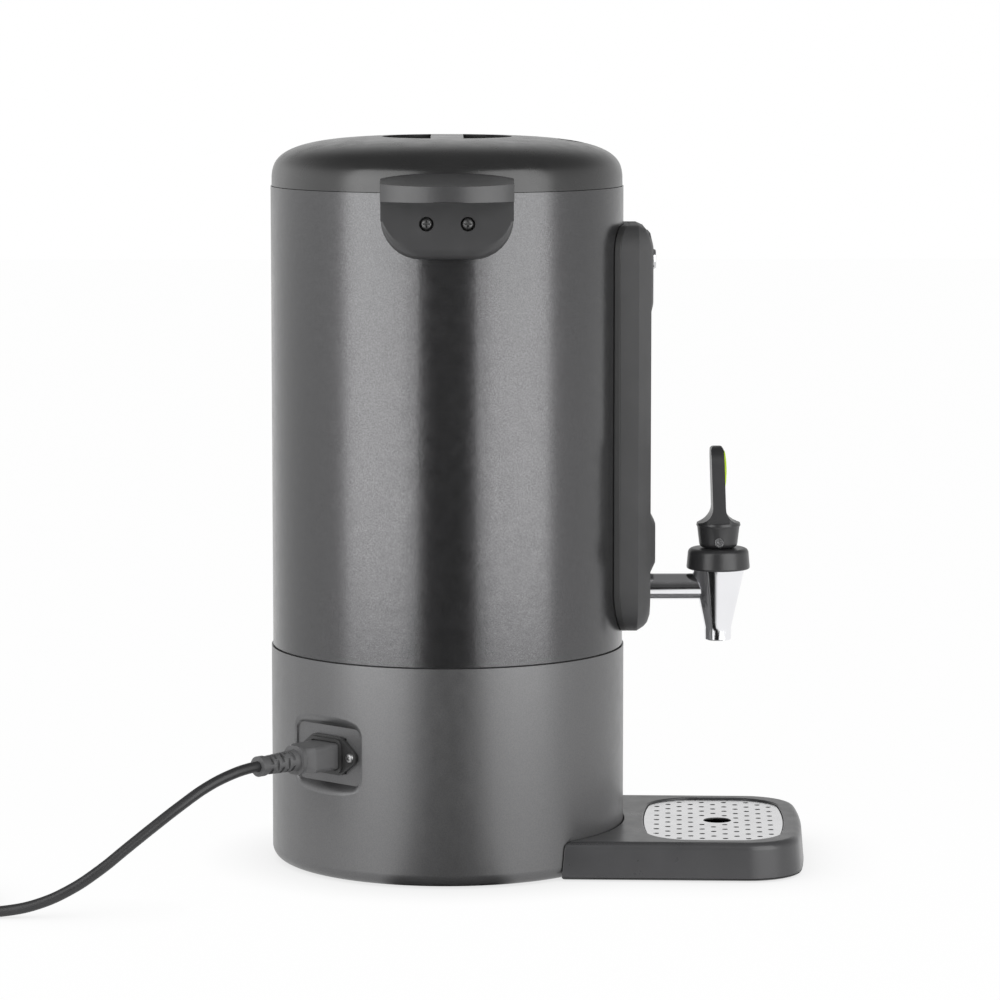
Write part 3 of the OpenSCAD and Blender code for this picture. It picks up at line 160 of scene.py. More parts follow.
links.new(tone.outputs["Result"], shown.inputs[1])
links.new(shown.outputs[0], glow.inputs["Strength"])
mixed = nodes.new("ShaderNodeMixShader")
links.new(share.outputs[0], mixed.inputs["Fac"])
links.new(matte.outputs["BSDF"], mixed.inputs[1])
links.new(glow.outputs["Emission"], mixed.inputs[2])
links.new(mixed.outputs["Shader"], nodes["Material Output"].inputs["Surface"])
floor_mesh.materials.append(floor_paint)

for azimuth in BOX_AZIMUTHS:
    soft_box = bpy.data.lights.new("soft_box", "AREA")
    soft_box.shape = "RECTANGLE"
    soft_box.size = BOX_WIDTH
    soft_box.size_y = BOX_HEIGHT
    soft_box.energy = BOX_POWER
    lamp = bpy.data.objects.new("soft_box", soft_box)
    angle = math.radians(azimuth)
    aim = Vector((math.cos(angle), math.sin(angle), 0))
    lamp.location = -BOX_DISTANCE * aim + Vector((0, 0, BOX_HEIGHT / 2))
    lamp.rotation_euler = aim.to_track_quat("-Z", "Y").to_euler()
    lamp.visible_camera = False
    scene.collection.objects.link(lamp)

world = bpy.data.worlds.new("studio")
scene.world = world
world.use_nodes = True
nodes, links = world.node_tree.nodes, world.node_tree.links
room = nodes["Background"]
place = nodes.new("ShaderNodeTexCoord")
split = nodes.new("ShaderNodeSeparateXYZ")
links.new(place.outputs["Generated"], split.inputs[0])
height = nodes.new("ShaderNodeMapRange")
height.interpolation_type = "SMOOTHSTEP"
height.inputs["From Min"].default_value = 0.1
height.inputs["From Max"].default_value = 0.75
height.inputs["To Min"].default_value = 0.8
height.inputs["To Max"].default_value = 0.16
links.new(split.outputs["Z"], height.inputs["Value"])
front = nodes.new("ShaderNodeMapRange")
front.interpolation_type = "SMOOTHSTEP"
front.inputs["From Min"].default_value = -0.98
front.inputs["From Max"].default_value = -0.55
front.inputs["To Min"].default_value = 0.06
front.inputs["To Max"].default_value = 1.0
links.new(split.outputs["X"], front.inputs["Value"])
left = nodes.new("ShaderNodeMapRange")
left.interpolation_type = "SMOOTHSTEP"
left.inputs["From Min"].default_value = 0.3
left.inputs["From Max"].default_value = 0.8
left.inputs["To Min"].default_value = 1.0
left.inputs["To Max"].default_value = 1.6
links.new(split.outputs["Y"], left.inputs["Value"])
sides = nodes.new("ShaderNodeMath")
sides.operation = "MULTIPLY"
links.new(front.outputs["Result"], sides.inputs[0])
links.new(left.outputs["Result"], sides.inputs[1])
level = nodes.new("ShaderNodeMath")
level.operation = "MULTIPLY"
links.new(height.outputs["Result"], level.inputs[0])
links.new(sides.outputs[0], level.inputs[1])
path = nodes.new("ShaderNodeLightPath")
backdrop = nodes.new("ShaderNodeMix")
backdrop.data_type = "FLOAT"
links.new(path.outputs["Is Camera Ray"], backdrop.inputs["Factor"])
links.new(level.outputs[0], backdrop.inputs["A"])
backdrop.inputs["B"].default_value = 1.0
links.new(backdrop.outputs["Result"], room.inputs["Strength"])
room.inputs["Color"].default_value = (1, 1, 1, 1)

# ---- Mains lead ----
# A black PVC lead, 6.5 mm across. It drops from its connector to the table, runs back, and is
# wound into one flat coil behind the urn, which leads to the plug.
CORD_R = 3.25 * mm
LEAD_PATH = [(-118.02, 111.99, 77.5), (-124.5, 118.2, 77.5), (-134.5, 129.5, 75.2), (-145, 143.5, 69.5),
             (-154.5, 158, 60.5), (-162.5, 173.5, 49.5), (-170, 189, 38), (-177, 205, 26),
             (-182, 222, 15.5), (-185, 240, 8), (-186, 258, 4.2), (-186, 276, 3.3), (-185, 293, 3.3),
             (-184, 306, 3.3)]
TAIL_PATH = [(-134, 361.6, 9.8), (-118, 360, 9.8), (-102, 357, 10.4), (-88, 353.5, 12.2),
             (-76, 351, 14.3), (-66, 350, 15.5), (-58, 350, 15.5)]
COIL_CENTRE = (-140, 318)
# The coil's outer turn and the step from one turn to the next, and its two layers' heights, in mm
COIL_RADIUS = 44.05
COIL_PITCH = 6.55
COIL_LAYERS = (3.3, 9.8)
# The winding runs clockwise from its entry, in degrees. At each step it moves on to the next radius or
# layer, over COIL_STEP degrees, and COIL_SPAN is what is left of it between its bends at both ends.
COIL_ENTRY = 195.3
COIL_STEP = 100
COIL_STEPS = [(325, "in"), (685, "in"), (1000.3, "up"), (1315.3, "out"), (1675.3, "out")]
COIL_SPAN = (12, 1905.3)
COIL_POINTS = 96


def eased(t):
    """A share from 0 to 1 that starts and ends gently."""
    t = min(1.0, max(0.0, t))
    return t * t * (3 - 2 * t)


def coil_point(turned):
    """The lead's middle after so many degrees of winding."""
    radius, z = COIL_RADIUS, COIL_LAYERS[0]
    for start, way in COIL_STEPS:
        share = eased((turned - start) / COIL_STEP)
        if way == "up":
            z += (COIL_LAYERS[1] - COIL_LAYERS[0]) * share
        else:
            radius += COIL_PITCH * share * (1 if way == "out" else -1)
    angle = math.radians(COIL_ENTRY - turned)
    return COIL_CENTRE[0] + radius * math.cos(angle), COIL_CENTRE[1] + radius * math.sin(angle), z


coil_path = [coil_point(COIL_SPAN[0] + (COIL_SPAN[1] - COIL_SPAN[0]) * i / (COIL_POINTS - 1))
             for i in range(COIL_POINTS)]
lead_curve = bpy.data.curves.new("mains_lead", "CURVE")
lead_curve.dimensions = "3D"
lead_curve.bevel_depth = CORD_R
lead_curve.bevel_resolution = 5
lead_curve.resolution_u = 6
lead_curve.use_fill_caps = True
lead_route = [Vector(p) * mm for p in LEAD_PATH + coil_path + TAIL_PATH]
spline = lead_curve.splines.new("BEZIER")
spline.bezier_points.add(len(lead_route) - 1)
for point, at in zip(spline.bezier_points, lead_route):
    point.co = at
    point.handle_left_type = point.handle_right_type = "AUTO"
mains_lead = bpy.data.objects.new("mains_lead", lead_curve)
scene.collection.objects.link(mains_lead)


def noise(tree, scale, detail, stretch=None):
    """A noise on object coordinates, at a scale in cells per metre."""
    place = tree.nodes.new("ShaderNodeTexCoord")
    made = tree.nodes.new("ShaderNodeTexNoise")
    made.inputs["Scale"].default_value = scale
    made.inputs["Detail"].default_value = detail
    source = place.outputs["Object"]
    if stretch:
        mapping = tree.nodes.new("ShaderNodeMapping")
        mapping.inputs["Scale"].default_value = stretch
        tree.links.new(source, mapping.inputs["Vector"])
        source = mapping.outputs["Vector"]
    tree.links.new(source, made.inputs["Vector"])
    return made.outputs["Fac"]


# Nearly all of a noise's values lie between these
NOISE_LOW, NOISE_HIGH = 0.3, 0.7


def surface(name, colour, roughness, metallic=0.0, tint=0.12, tint_scale=60, rough_span=0.06,
            rough_scale=120, bumps=(), specular=0.5):
    """A finish whose colour varies by tint and its roughness by rough_span. bumps lists a scale in cells
    per metre, a height in metres and a stretch for each layer of its grain."""
    made = bpy.data.materials.new(name)
    made.use_nodes = True
    tree = made.node_tree
    shader = tree.nodes["Principled BSDF"]
    shader.inputs["Metallic"].default_value = metallic
    shader.inputs["Specular IOR Level"].default_value = specular
    ramp = tree.nodes.new("ShaderNodeValToRGB")
    darker, lighter = ramp.color_ramp.elements
    darker.position, lighter.position = NOISE_LOW, NOISE_HIGH
    darker.color = [c * (1 - tint) for c in colour] + [1]
    lighter.color = [min(1, c * (1 + tint)) for c in colour] + [1]
    tree.links.new(noise(tree, tint_scale, 3), ramp.inputs["Fac"])
    tree.links.new(ramp.outputs["Color"], shader.inputs["Base Color"])
    varied = tree.nodes.new("ShaderNodeMapRange")
    varied.inputs["From Min"].default_value = NOISE_LOW
    varied.inputs["From Max"].default_value = NOISE_HIGH
    varied.inputs["To Min"].default_value = roughness - rough_span / 2
    varied.inputs["To Max"].default_value = roughness + rough_span / 2
    tree.links.new(noise(tree, rough_scale, 3), varied.inputs["Value"])
    tree.links.new(varied.outputs["Result"], shader.inputs["Roughness"])
    normal = None
    for scale, depth, stretch in bumps:
        bump = tree.nodes.new("ShaderNodeBump")
        bump.inputs["Strength"].default_value = 1.0
        bump.inputs["Distance"].default_value = depth
        tree.links.new(noise(tree, scale, 1.5, stretch), bump.inputs["Height"])
        if normal:
            tree.links.new(normal, bump.inputs["Normal"])
        normal = bump.outputs["Normal"]
    if normal:
        tree.links.new(normal, shader.inputs["Normal"])
    return made


cord_sheath = surface("cord_sheath", (0.022, 0.022, 0.023), 0.42, tint=0.1, bumps=[(900, 0.00004, None)])
lead_curve.materials.append(cord_sheath)
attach(mains_lead, "urn")
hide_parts("mains_cord", "cord_coil", "cord_tail")


def moulded(name, colour, roughness, grain=0.00002, specular=0.5):
    """Moulded nylon or PP with the fine spark-eroded grain of its mould."""
    return surface(name, colour, roughness, tint=0.08, tint_scale=40, rough_scale=90,
                   bumps=[(1600, grain, None), (30, grain * 2, None)], specular=specular)


def paint(material, *names):
    """Gives CAD nodes that stay as they are a finish of their own."""
    for node in names:
        made = frame["nodes"][node]
        made.data.materials.clear()
        made.data.materials.append(material)


def stands_for(made, *names):
    """A finished piece moves with the CAD nodes that it replaces, which are hidden."""
    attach(made, body_of(frame["nodes"][names[0]])[0])
    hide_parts(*names)
    return made


def settled(made):
    """Keeps what an object's modifiers make of it as its plain mesh."""
    graph = bpy.context.evaluated_depsgraph_get()
    result = bpy.data.meshes.new_from_object(made.evaluated_get(graph), depsgraph=graph)
    made.modifiers.clear()
    made.data = result
    result.name = made.name
    return made


MERGE = 0.003 * mm


def rounded(node, material, edge=0.4, sharp=30, steps=2, reshape=None, clamp=True, cutters=()):
    """A merged copy of a CAD node, less its cutters. Each edge sharper than sharp degrees is rounded by
    edge mm in a number of steps, and clamp keeps these roundings clear of one another."""
    mesh = frame["nodes"][node].data.copy()
    if "custom_normal" in mesh.attributes:
        mesh.attributes.remove(mesh.attributes["custom_normal"])
    shape = bmesh.new()
    shape.from_mesh(mesh)
    bmesh.ops.remove_doubles(shape, verts=shape.verts, dist=MERGE)
    if cutters:
        shape.to_mesh(mesh)
        shape.clear()
        blank = bpy.data.objects.new(node + "_blank", mesh)
        scene.collection.objects.link(blank)
        for cutter in cutters:
            cut = blank.modifiers.new("cut", "BOOLEAN")
            cut.operation = "DIFFERENCE"
            cut.solver = "EXACT"
            cut.object = cutter
        mesh = settled(blank).data
        bpy.data.objects.remove(blank)
        for cutter in cutters:
            bpy.data.objects.remove(cutter)
        shape.from_mesh(mesh)
        bmesh.ops.remove_doubles(shape, verts=shape.verts, dist=MERGE)
    bmesh.ops.dissolve_limit(shape, angle_limit=math.radians(0.6), verts=shape.verts, edges=shape.edges)
    if reshape:
        reshape(shape)
    shape.normal_update()
    weight = shape.edges.layers.float.new("bevel_weight_edge")
    for line in shape.edges:
        if len(line.link_faces) == 2 and line.calc_face_angle() > math.radians(sharp):
            line[weight] = 1.0
    shape.to_mesh(mesh)
    shape.free()
    mesh.shade_smooth()
    mesh.set_sharp_from_angle(angle=math.radians(sharp))
    mesh.materials.clear()
    mesh.materials.append(material)
    made = bpy.data.objects.new(node + "_finished", mesh)
    scene.collection.objects.link(made)
    bevel = made.modifiers.new("edges", "BEVEL")
    bevel.limit_method = "WEIGHT"
    bevel.width = edge * mm
    bevel.segments = steps
    bevel.use_clamp_overlap = clamp
    bevel.miter_outer = "MITER_ARC"
    # Flat faces keep their own normals beside the rounded edges
    evened = made.modifiers.new("normals", "WEIGHTED_NORMAL")
    evened.mode = "FACE_AREA_WITH_ANGLE"
    evened.keep_sharp = True
    return stands_for(settled(made), node)


def new_tree(name, sizes):
    """A geometry tree with a mesh, named sizes and a finish as inputs, and its two end nodes."""
    tree = bpy.data.node_groups.new(name, "GeometryNodeTree")
    tree.interface.new_socket("Geometry", in_out="INPUT", socket_type="NodeSocketGeometry")
    for label in sizes:
        kind = "NodeSocketInt" if "count" in label else "NodeSocketFloat"
        tree.interface.new_socket(label, in_out="INPUT", socket_type=kind)
    tree.interface.new_socket("Finish", in_out="INPUT", socket_type="NodeSocketMaterial")
    tree.interface.new_socket("Geometry", in_out="OUTPUT", socket_type="NodeSocketGeometry")
    return tree, tree.nodes.new("NodeGroupInput").outputs, tree.nodes.new("NodeGroupOutput")


def step(tree, kind, settings=None, **sockets):
    """A node of a tree, with settings for its properties. Its inputs go by name, or as i and a number."""
    made = tree.nodes.new(kind)
    for key, value in (settings or {}).items():
        setattr(made, key, value)
    for label, value in sockets.items():
        by_number = label[0] == "i" and label[1:].isdigit()
        socket = made.inputs[int(label[1:])] if by_number else made.inputs[label.replace("_", " ")]
        if isinstance(value, bpy.types.NodeSocket):
            tree.links.new(value, socket)
        else:
            socket.default_value = value
    return made


def reckon(tree, operation, a, b=0.0):
    """One sum in a tree."""
    return step(tree, "ShaderNodeMath", {"operation": operation}, i0=a, i1=b).outputs[0]


def joined(tree, *parts):
    """The parts as one geometry."""
    made = tree.nodes.new("GeometryNodeJoinGeometry")
    for part in parts:
        tree.links.new(part, made.inputs[0])
    return made.outputs[0]


def close_tree(tree, start, end, geometry):
    """Ends a tree in Realize Instances and Set Material."""
    real = step(tree, "GeometryNodeRealizeInstances", Geometry=geometry)
    smooth = step(tree, "GeometryNodeSetShadeSmooth", Geometry=real.outputs[0])
    coated = step(tree, "GeometryNodeSetMaterial", Geometry=smooth.outputs[0], Material=start["Finish"])
    tree.links.new(coated.outputs[0], end.inputs[0])


def grown(name, tree, seed, material, values):
    """Runs a tree on a seed mesh and keeps the result as a plain mesh."""
    made = bpy.data.objects.new(name, seed)
    scene.collection.objects.link(made)
    growth = made.modifiers.new("growth", "NODES")
    growth.node_group = tree
    for item in tree.interface.items_tree:
        if item.item_type == "SOCKET" and item.in_out == "INPUT" and item.name in values:
            growth[item.identifier] = values[item.name]
        if item.item_type == "SOCKET" and item.name == "Finish":
            growth[item.identifier] = material
    settled(made)
    made.data.set_sharp_from_angle(angle=math.radians(35))
    return made


def points(name, places, aims):
    """A seed mesh of loose points, each with the way that its instance faces."""
    seed = bpy.data.meshes.new(name)
    seed.from_pydata([tuple(p) for p in places], [], [])
    aim = seed.attributes.new("aim", "FLOAT_VECTOR", "POINT")
    aim.data.foreach_set("vector", [c for way in aims for c in way])
    return seed


# A screw: a domed head with a cross recess, on a plain shank
SCREW_SIZES = ("Head radius", "Head height", "Shank radius", "Shank length")
screw_tree, start, end = new_tree("cross_head_screw", SCREW_SIZES)
disc = step(screw_tree, "GeometryNodeMeshCircle", {"fill_type": "NGON"}, Vertices=28,
            Radius=start["Head radius"])
geometry, top = disc.outputs[0], None
# The dome rises in rings, each by a share of the head's height and drawn in by a share of the last ring
DOME = ((0.5, 0.95), (0.25, 0.88), (0.15, 0.78), (0.1, 0.55))
for rise, shrink in DOME:
    grow = step(screw_tree, "GeometryNodeExtrudeMesh", {"mode": "FACES"}, Mesh=geometry,
                Offset_Scale=reckon(screw_tree, "MULTIPLY", start["Head height"], rise))
    if top:
        screw_tree.links.new(top, grow.inputs["Selection"])
    taper = step(screw_tree, "GeometryNodeScaleElements", Geometry=grow.outputs["Mesh"],
                 Selection=grow.outputs["Top"], Scale=shrink)
    geometry, top = taper.outputs[0], grow.outputs["Top"]
under = step(screw_tree, "GeometryNodeFlipFaces", Mesh=disc.outputs[0])
head = step(screw_tree, "GeometryNodeMergeByDistance",
            Geometry=joined(screw_tree, geometry, under.outputs[0]), Distance=0.001 * mm)
long_side = reckon(screw_tree, "MULTIPLY", start["Head radius"], 1.15)
short_side = reckon(screw_tree, "MULTIPLY", start["Head radius"], 0.26)
deep_side = reckon(screw_tree, "MULTIPLY", start["Head height"], 1.1)
recess = step(screw_tree, "GeometryNodeMeshBoolean", {"operation": "DIFFERENCE", "solver": "EXACT"})
screw_tree.links.new(head.outputs[0], recess.inputs["Mesh 1"])
for across in (long_side, short_side):
    other = short_side if across == long_side else long_side
    size = step(screw_tree, "ShaderNodeCombineXYZ", X=across, Y=other, Z=deep_side)
    blade = step(screw_tree, "GeometryNodeMeshCube", Size=size.outputs[0])
    place = step(screw_tree, "ShaderNodeCombineXYZ", Z=start["Head height"])
    moved = step(screw_tree, "GeometryNodeTransform", Geometry=blade.outputs[0],
                 Translation=place.outputs[0])
    screw_tree.links.new(moved.outputs[0], recess.inputs["Mesh 2"])
thin_end = reckon(screw_tree, "MULTIPLY", start["Shank radius"], 0.75)
rod = step(screw_tree, "GeometryNodeMeshCone", Vertices=16, Radius_Top=start["Shank radius"],
           Radius_Bottom=thin_end, Depth=start["Shank length"])
depth = reckon(screw_tree, "MULTIPLY", start["Shank length"], -1.0)
sunk = step(screw_tree, "ShaderNodeCombineXYZ", Z=depth)
rod = step(screw_tree, "GeometryNodeTransform", Geometry=rod.outputs[0], Translation=sunk.outputs[0])
aim = step(screw_tree, "GeometryNodeInputNamedAttribute", {"data_type": "FLOAT_VECTOR"}, Name="aim")
faced = step(screw_tree, "FunctionNodeAlignRotationToVector", {"axis": "Z"}, Vector=aim.outputs[0])
placed = step(screw_tree, "GeometryNodeInstanceOnPoints", Points=start["Geometry"],
              Instance=joined(screw_tree, recess.outputs[0], rod.outputs[0]), Rotation=faced.outputs[0])
close_tree(screw_tree, start, end, placed.outputs[0])


def islands(node):
    """The corners of each separate solid of a CAD node."""
    shape = bmesh.new()
    shape.from_mesh(frame["nodes"][node].data)
    bmesh.ops.remove_doubles(shape, verts=shape.verts, dist=MERGE)
    left, found = set(shape.verts), []
    while left:
        reach, group = [min(left, key=lambda v: v.index)], set()
        while reach:
            vertex = reach.pop()
            if vertex not in group:
                group.add(vertex)
                reach.extend(e.other_vert(vertex) for e in vertex.link_edges)
        left -= group
        found.append([v.co.copy() for v in group])
    shape.free()
    return found


FACE_DEPTH = 0.02 * mm


def screws(node, material, head, height, shank, out):
    """Cross-head screws in place of a CAD node's. out gives the way that a head faces at its place."""
    places, aims, length = [], [], 0
    for group in islands(node):
        middle = sum(group, Vector()) / len(group)
        way = out(middle).normalized()
        reach = [p.dot(way) for p in group]
        far = max(reach)
        # The axis runs through the middle of the points at the head's face
        face = [p for p, r in zip(group, reach) if r > far - FACE_DEPTH]
        centre = sum(face, Vector()) / len(face)
        places.append(centre - way * height * mm)
        aims.append(way)
        length = far - min(reach)
    seed = points(node + "_seed", places, aims)
    made = grown(node + "_finished", screw_tree, seed, material, {
        "Head radius": head * mm, "Head height": height * mm, "Shank radius": shank * mm,
        "Shank length": length - height * mm})
    return stands_for(made, node)


def downward(at):
    """The way that the heads of the screws under a piece face."""
    return Vector((0, 0, -1))


lid_black = moulded("lid_black", (0.018, 0.018, 0.018), 0.25, grain=0.000006, specular=0.6)
liner_black = moulded("liner_black", (0.03, 0.03, 0.03), 0.42)
silicone = surface("silicone", (0.62, 0.61, 0.58), 0.45, tint=0.06, bumps=[(300, 0.00003, None)])
zinc = surface("zinc_plate", (0.55, 0.56, 0.57), 0.3, 1.0, tint=0.12, tint_scale=300)
rounded("lid_cover", lid_black, 0.5)
rounded("lid_vent", lid_black, 0.25)
rounded("lid_liner", liner_black, 0.4)
rounded("lid_seal", silicone, 0.3)
screws("lid_screws", zinc, 2.8, 1.6, 1.5, downward)

# ---- Carry handles ----
# Two moulded nylon handles: a pad that is screwed to the shell through rivet nuts, and a band for
# the fingers that sweeps up to the lid.


def solid(name, rings):
    """A closed cutter through rings of as many points each, in mm, with flat ends."""
    shape = bmesh.new()
    loops = [[shape.verts.new(Vector(p) * mm) for p in ring] for ring in rings]
    for lower, upper in zip(loops, loops[1:]):
        for i, vertex in enumerate(lower):
            j = (i + 1) % len(lower)
            shape.faces.new((vertex, lower[j], upper[j], upper[i]))
    shape.faces.new(loops[0][::-1])
    shape.faces.new(loops[-1])
    bmesh.ops.recalc_face_normals(shape, faces=shape.faces)
    mesh = bpy.data.meshes.new(name)
    shape.to_mesh(mesh)
    shape.free()
    made = bpy.data.objects.new(name, mesh)
    scene.collection.objects.link(made)
    return made


handle_black = moulded("handle_black", (0.042, 0.042, 0.043), 0.36)
screw_black = surface("black_screw", (0.14, 0.14, 0.14), 0.42, 0.8, tint=0.2, tint_scale=500)
# The band's underside, the pad's outer face, and the small fillet where they meet
BAND_Z0 = 416.6
PAD_X = 120.15
FILLET = 4.5
NOOK = 14
NOOK_HALF = 45
# The dish is a part of an ellipsoid: the place of its middle in x and z, and its three half sizes
DISH_AT = (150, 448.3)
DISH_HALF = (60, 172, 22.4)


def dish_ring(side, tilt):
    """The points of the dish's ellipsoid round one of its parallels."""
    ring = []
    for degrees in range(0, 360, 6):
        turn = math.radians(degrees)
        ring.append((side * (DISH_AT[0] + DISH_HALF[0] * math.cos(tilt) * math.cos(turn)),
                     DISH_HALF[1] * math.sin(tilt),
                     DISH_AT[1] + DISH_HALF[2] * math.cos(tilt) * math.sin(turn)))
    return ring


nook_outline = [(PAD_X + FILLET - FILLET * math.cos(math.radians(a)),
                 BAND_Z0 - FILLET + FILLET * math.sin(math.radians(a))) for a in range(0, 91, 10)]
nook_outline += [(PAD_X + NOOK, BAND_Z0), (PAD_X + NOOK, BAND_Z0 - NOOK), (PAD_X, BAND_Z0 - NOOK)]
for side, node in ((-1, "handle_left"), (1, "handle_right")):
    dish = solid("dish", [dish_ring(side, math.radians(tilt)) for tilt in range(-84, 85, 6)])
    nook = solid("nook", [[(side * x, y, z) for x, z in nook_outline] for y in (-NOOK_HALF, NOOK_HALF)])
    rounded(node, handle_black, 0.5, steps=3, cutters=(dish, nook))
screws("handle_screws", screw_black, 3.85, 2.6, 2, lambda at: Vector((at.x, 0, 0)))
rounded("handle_rivnuts", zinc, 0.2)

# ---- Outer shell and tank ----
# A drum of steel sheet, powder coated in charcoal with a fine metallic speckle, round a brushed
# stainless tank. The tank stands on four posts and its rim lies on the shell's shelf.


def powder_coat(name, colour, metallic, roughness, sparkle, tint=0.2):
    """Powder coat on steel sheet, with a metallic speckle and the soft swell of the melted powder."""
    return surface(name, colour, roughness, metallic, tint=tint, tint_scale=1300, rough_span=0.05,
                   bumps=[(1100, sparkle, None), (260, sparkle * 1.5, None)], specular=0.9)


shell_coat = powder_coat("shell_coat", (0.088, 0.088, 0.09), 0.85, 0.24, 0.00003)
tank_steel = surface("tank_steel", (0.55, 0.56, 0.57), 0.3, 1.0, tint=0.06,
                     bumps=[(300, 0.00002, (1, 1, 14))])
rubber = surface("foot_rubber", (0.015, 0.015, 0.015), 0.7, tint=0.15, bumps=[(700, 0.00006, None)])
rounded("outer_shell", shell_coat, 0.3)
rounded("inner_tank", tank_steel, 0.3)
rounded("tank_standoffs", zinc, 0.3)
rounded("seam_ring", rubber, 0.1)

# ---- Front panel and sight glass ----
# A chamfered cover moulded in charcoal nylon over a flat black frame, which is coloured darker than the
# cover as painted shade where the panel meets the shell. Its window shows the glass level tube, held top and
# bottom in rubber-sealed elbows from the tank.
panel_black = moulded("panel_black", (0.058, 0.058, 0.059), 0.5, specular=0.35)
# The frame is darker than the cover: painted shade for the gap along the shell
frame_black_painted_shade = moulded("frame_black_painted_shade", (0.026, 0.026, 0.026), 0.5)
fitting_black = moulded("fitting_black", (0.02, 0.02, 0.02), 0.45)
red_silicone = surface("red_silicone", (0.35, 0.05, 0.03), 0.5, tint=0.08, bumps=[(300, 0.00003, None)])
clear_glass = surface("clear_glass", (0.92, 0.97, 0.98), 0.03, tint=0.02, rough_span=0.02)
glass_shader = clear_glass.node_tree.nodes["Principled BSDF"]
glass_shader.inputs["Transmission Weight"].default_value = 1.0
glass_shader.inputs["IOR"].default_value = 1.47
rounded("front_panel", panel_black, 0.8, sharp=24, steps=3)
rounded("panel_frame", frame_black_painted_shade, 0.6)
rounded("glass_elbows", fitting_black, 0.4)
rounded("glass_seals", red_silicone, 0.3)
rounded("glass_nuts", zinc, 0.4)
rounded("sight_glass", clear_glass, 0.2)

# ---- Power button ----
# A round push button in gloss black inside a chrome bezel, on a switch body behind the panel.
chrome = surface("tap_chrome", (0.86, 0.86, 0.88), 0.12, 1.0, tint=0.02, rough_span=0.03,
                 bumps=[(60, 0.00004, None)])
button_black = moulded("button_black", (0.012, 0.012, 0.013), 0.2)
bezel_steel = surface("bezel_steel", (0.6, 0.6, 0.61), 0.16, 1.0, tint=0.03)
rounded("button_bezel", bezel_steel, 0.3, steps=3)
rounded("power_button", button_black, 0.3)
rounded("power_switch", fitting_black, 0.3)

# ---- Tap ----
# A self-closing tap: a chromed brass cone and shank, a black bonnet, and a lever whose foot rolls
# on the bonnet and lifts the spring-loaded stem. The lever carries a lime insert on its front.
tap_black = moulded("tap_black", (0.025, 0.025, 0.026), 0.34)
lime = moulded("lime_insert", (0.5, 0.72, 0.03), 0.28)
stem_steel = surface("stem_steel", (0.6, 0.61, 0.62), 0.2, 1.0, tint=0.05,
                     bumps=[(200, 0.00002, (1, 1, 14))])
pin_steel = surface("pin_steel", (0.5, 0.5, 0.51), 0.25, 1.0, tint=0.08)
PIN_RIM = 0.8
PIN_HOLLOW = 0.9
PIN_DRAFT = 0.1


def hollow_heads(shape):
    """Each end of the tap's pin is a hollow head with a thin rim."""
    end_x = max(v.co.x for v in shape.verts) - 0.1 * mm
    for side in (-1, 1):
        face = [f for f in shape.faces
                if f.normal.x * side > 0.99 and f.calc_center_median().x * side > end_x]
        bmesh.ops.inset_region(shape, faces=face, thickness=PIN_RIM * mm)
        bmesh.ops.inset_region(shape, faces=face, thickness=PIN_DRAFT * mm, depth=-PIN_HOLLOW * mm)
        # The floor of each hollow takes the second finish, the lever's black: painted shade for the dark
        # inside of the head
        for hollow in face:
            hollow.material_index = 1


rounded("tap_body", chrome, 0.35, steps=3)
rounded("tap_tube", chrome, 0.2)
rounded("tap_bonnet", tap_black, 0.6, steps=3)
rounded("tap_handle", tap_black, 0.6, sharp=34, steps=3)
rounded("handle_insert", lime, 0.5, steps=3)
# The lever's black is the pin's second finish, for the painted shade in its hollow heads
rounded("handle_pin", pin_steel, 0.2, reshape=hollow_heads).data.materials.append(tap_black)
rounded("tap_stem", stem_steel, 0.2)
rounded("seat_cup", silicone, 0.4)
rounded("tap_gasket", silicone, 0.3)
rounded("tap_nut", zinc, 0.6)
rounded("outlet_sleeve", tank_steel, 0.2)

# The closing spring, a wound wire between the stem's collar and the bonnet's roof
SPRING_WIRE_R = 0.5 * mm
SPRING_SIZES = ("Turn count", "Coil radius", "Wire radius", "Coil height")
spring_tree, start, end = new_tree("wound_spring", SPRING_SIZES)
turns = step(spring_tree, "GeometryNodeCurveSpiral", Resolution=24, Rotations=start["Turn count"],
             Start_Radius=start["Coil radius"], End_Radius=start["Coil radius"], Height=start["Coil height"])
wire = step(spring_tree, "GeometryNodeCurvePrimitiveCircle", Resolution=8, Radius=start["Wire radius"])
tube = step(spring_tree, "GeometryNodeCurveToMesh", Curve=turns.outputs[0],
            Profile_Curve=wire.outputs[0], Fill_Caps=True)
coils = step(spring_tree, "GeometryNodeInstanceOnPoints", Points=start["Geometry"],
             Instance=tube.outputs[0])
close_tree(spring_tree, start, end, coils.outputs[0])
low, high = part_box("tap_spring")
spring_foot = ((low.x + high.x) / 2, (low.y + high.y) / 2, low.z + SPRING_WIRE_R)
spring_seed = points("spring_seed", [spring_foot], [(0, 0, 1)])
spring = grown("closing_spring", spring_tree, spring_seed, zinc, {
    "Turn count": 7, "Coil radius": 4.4 * mm, "Wire radius": SPRING_WIRE_R,
    "Coil height": high.z - low.z - 2 * SPRING_WIRE_R})
stands_for(spring, "tap_spring")
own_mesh(spring)

# ---- Base housing ----
# A second coated drum, a little wider, deep drawn with a soft-edged pocket for the mains inlet. It
# holds the heater and the wiring, and stands on a rubber ring in its plastic floor.
BASE_R = 109.9
LIP_R = 7
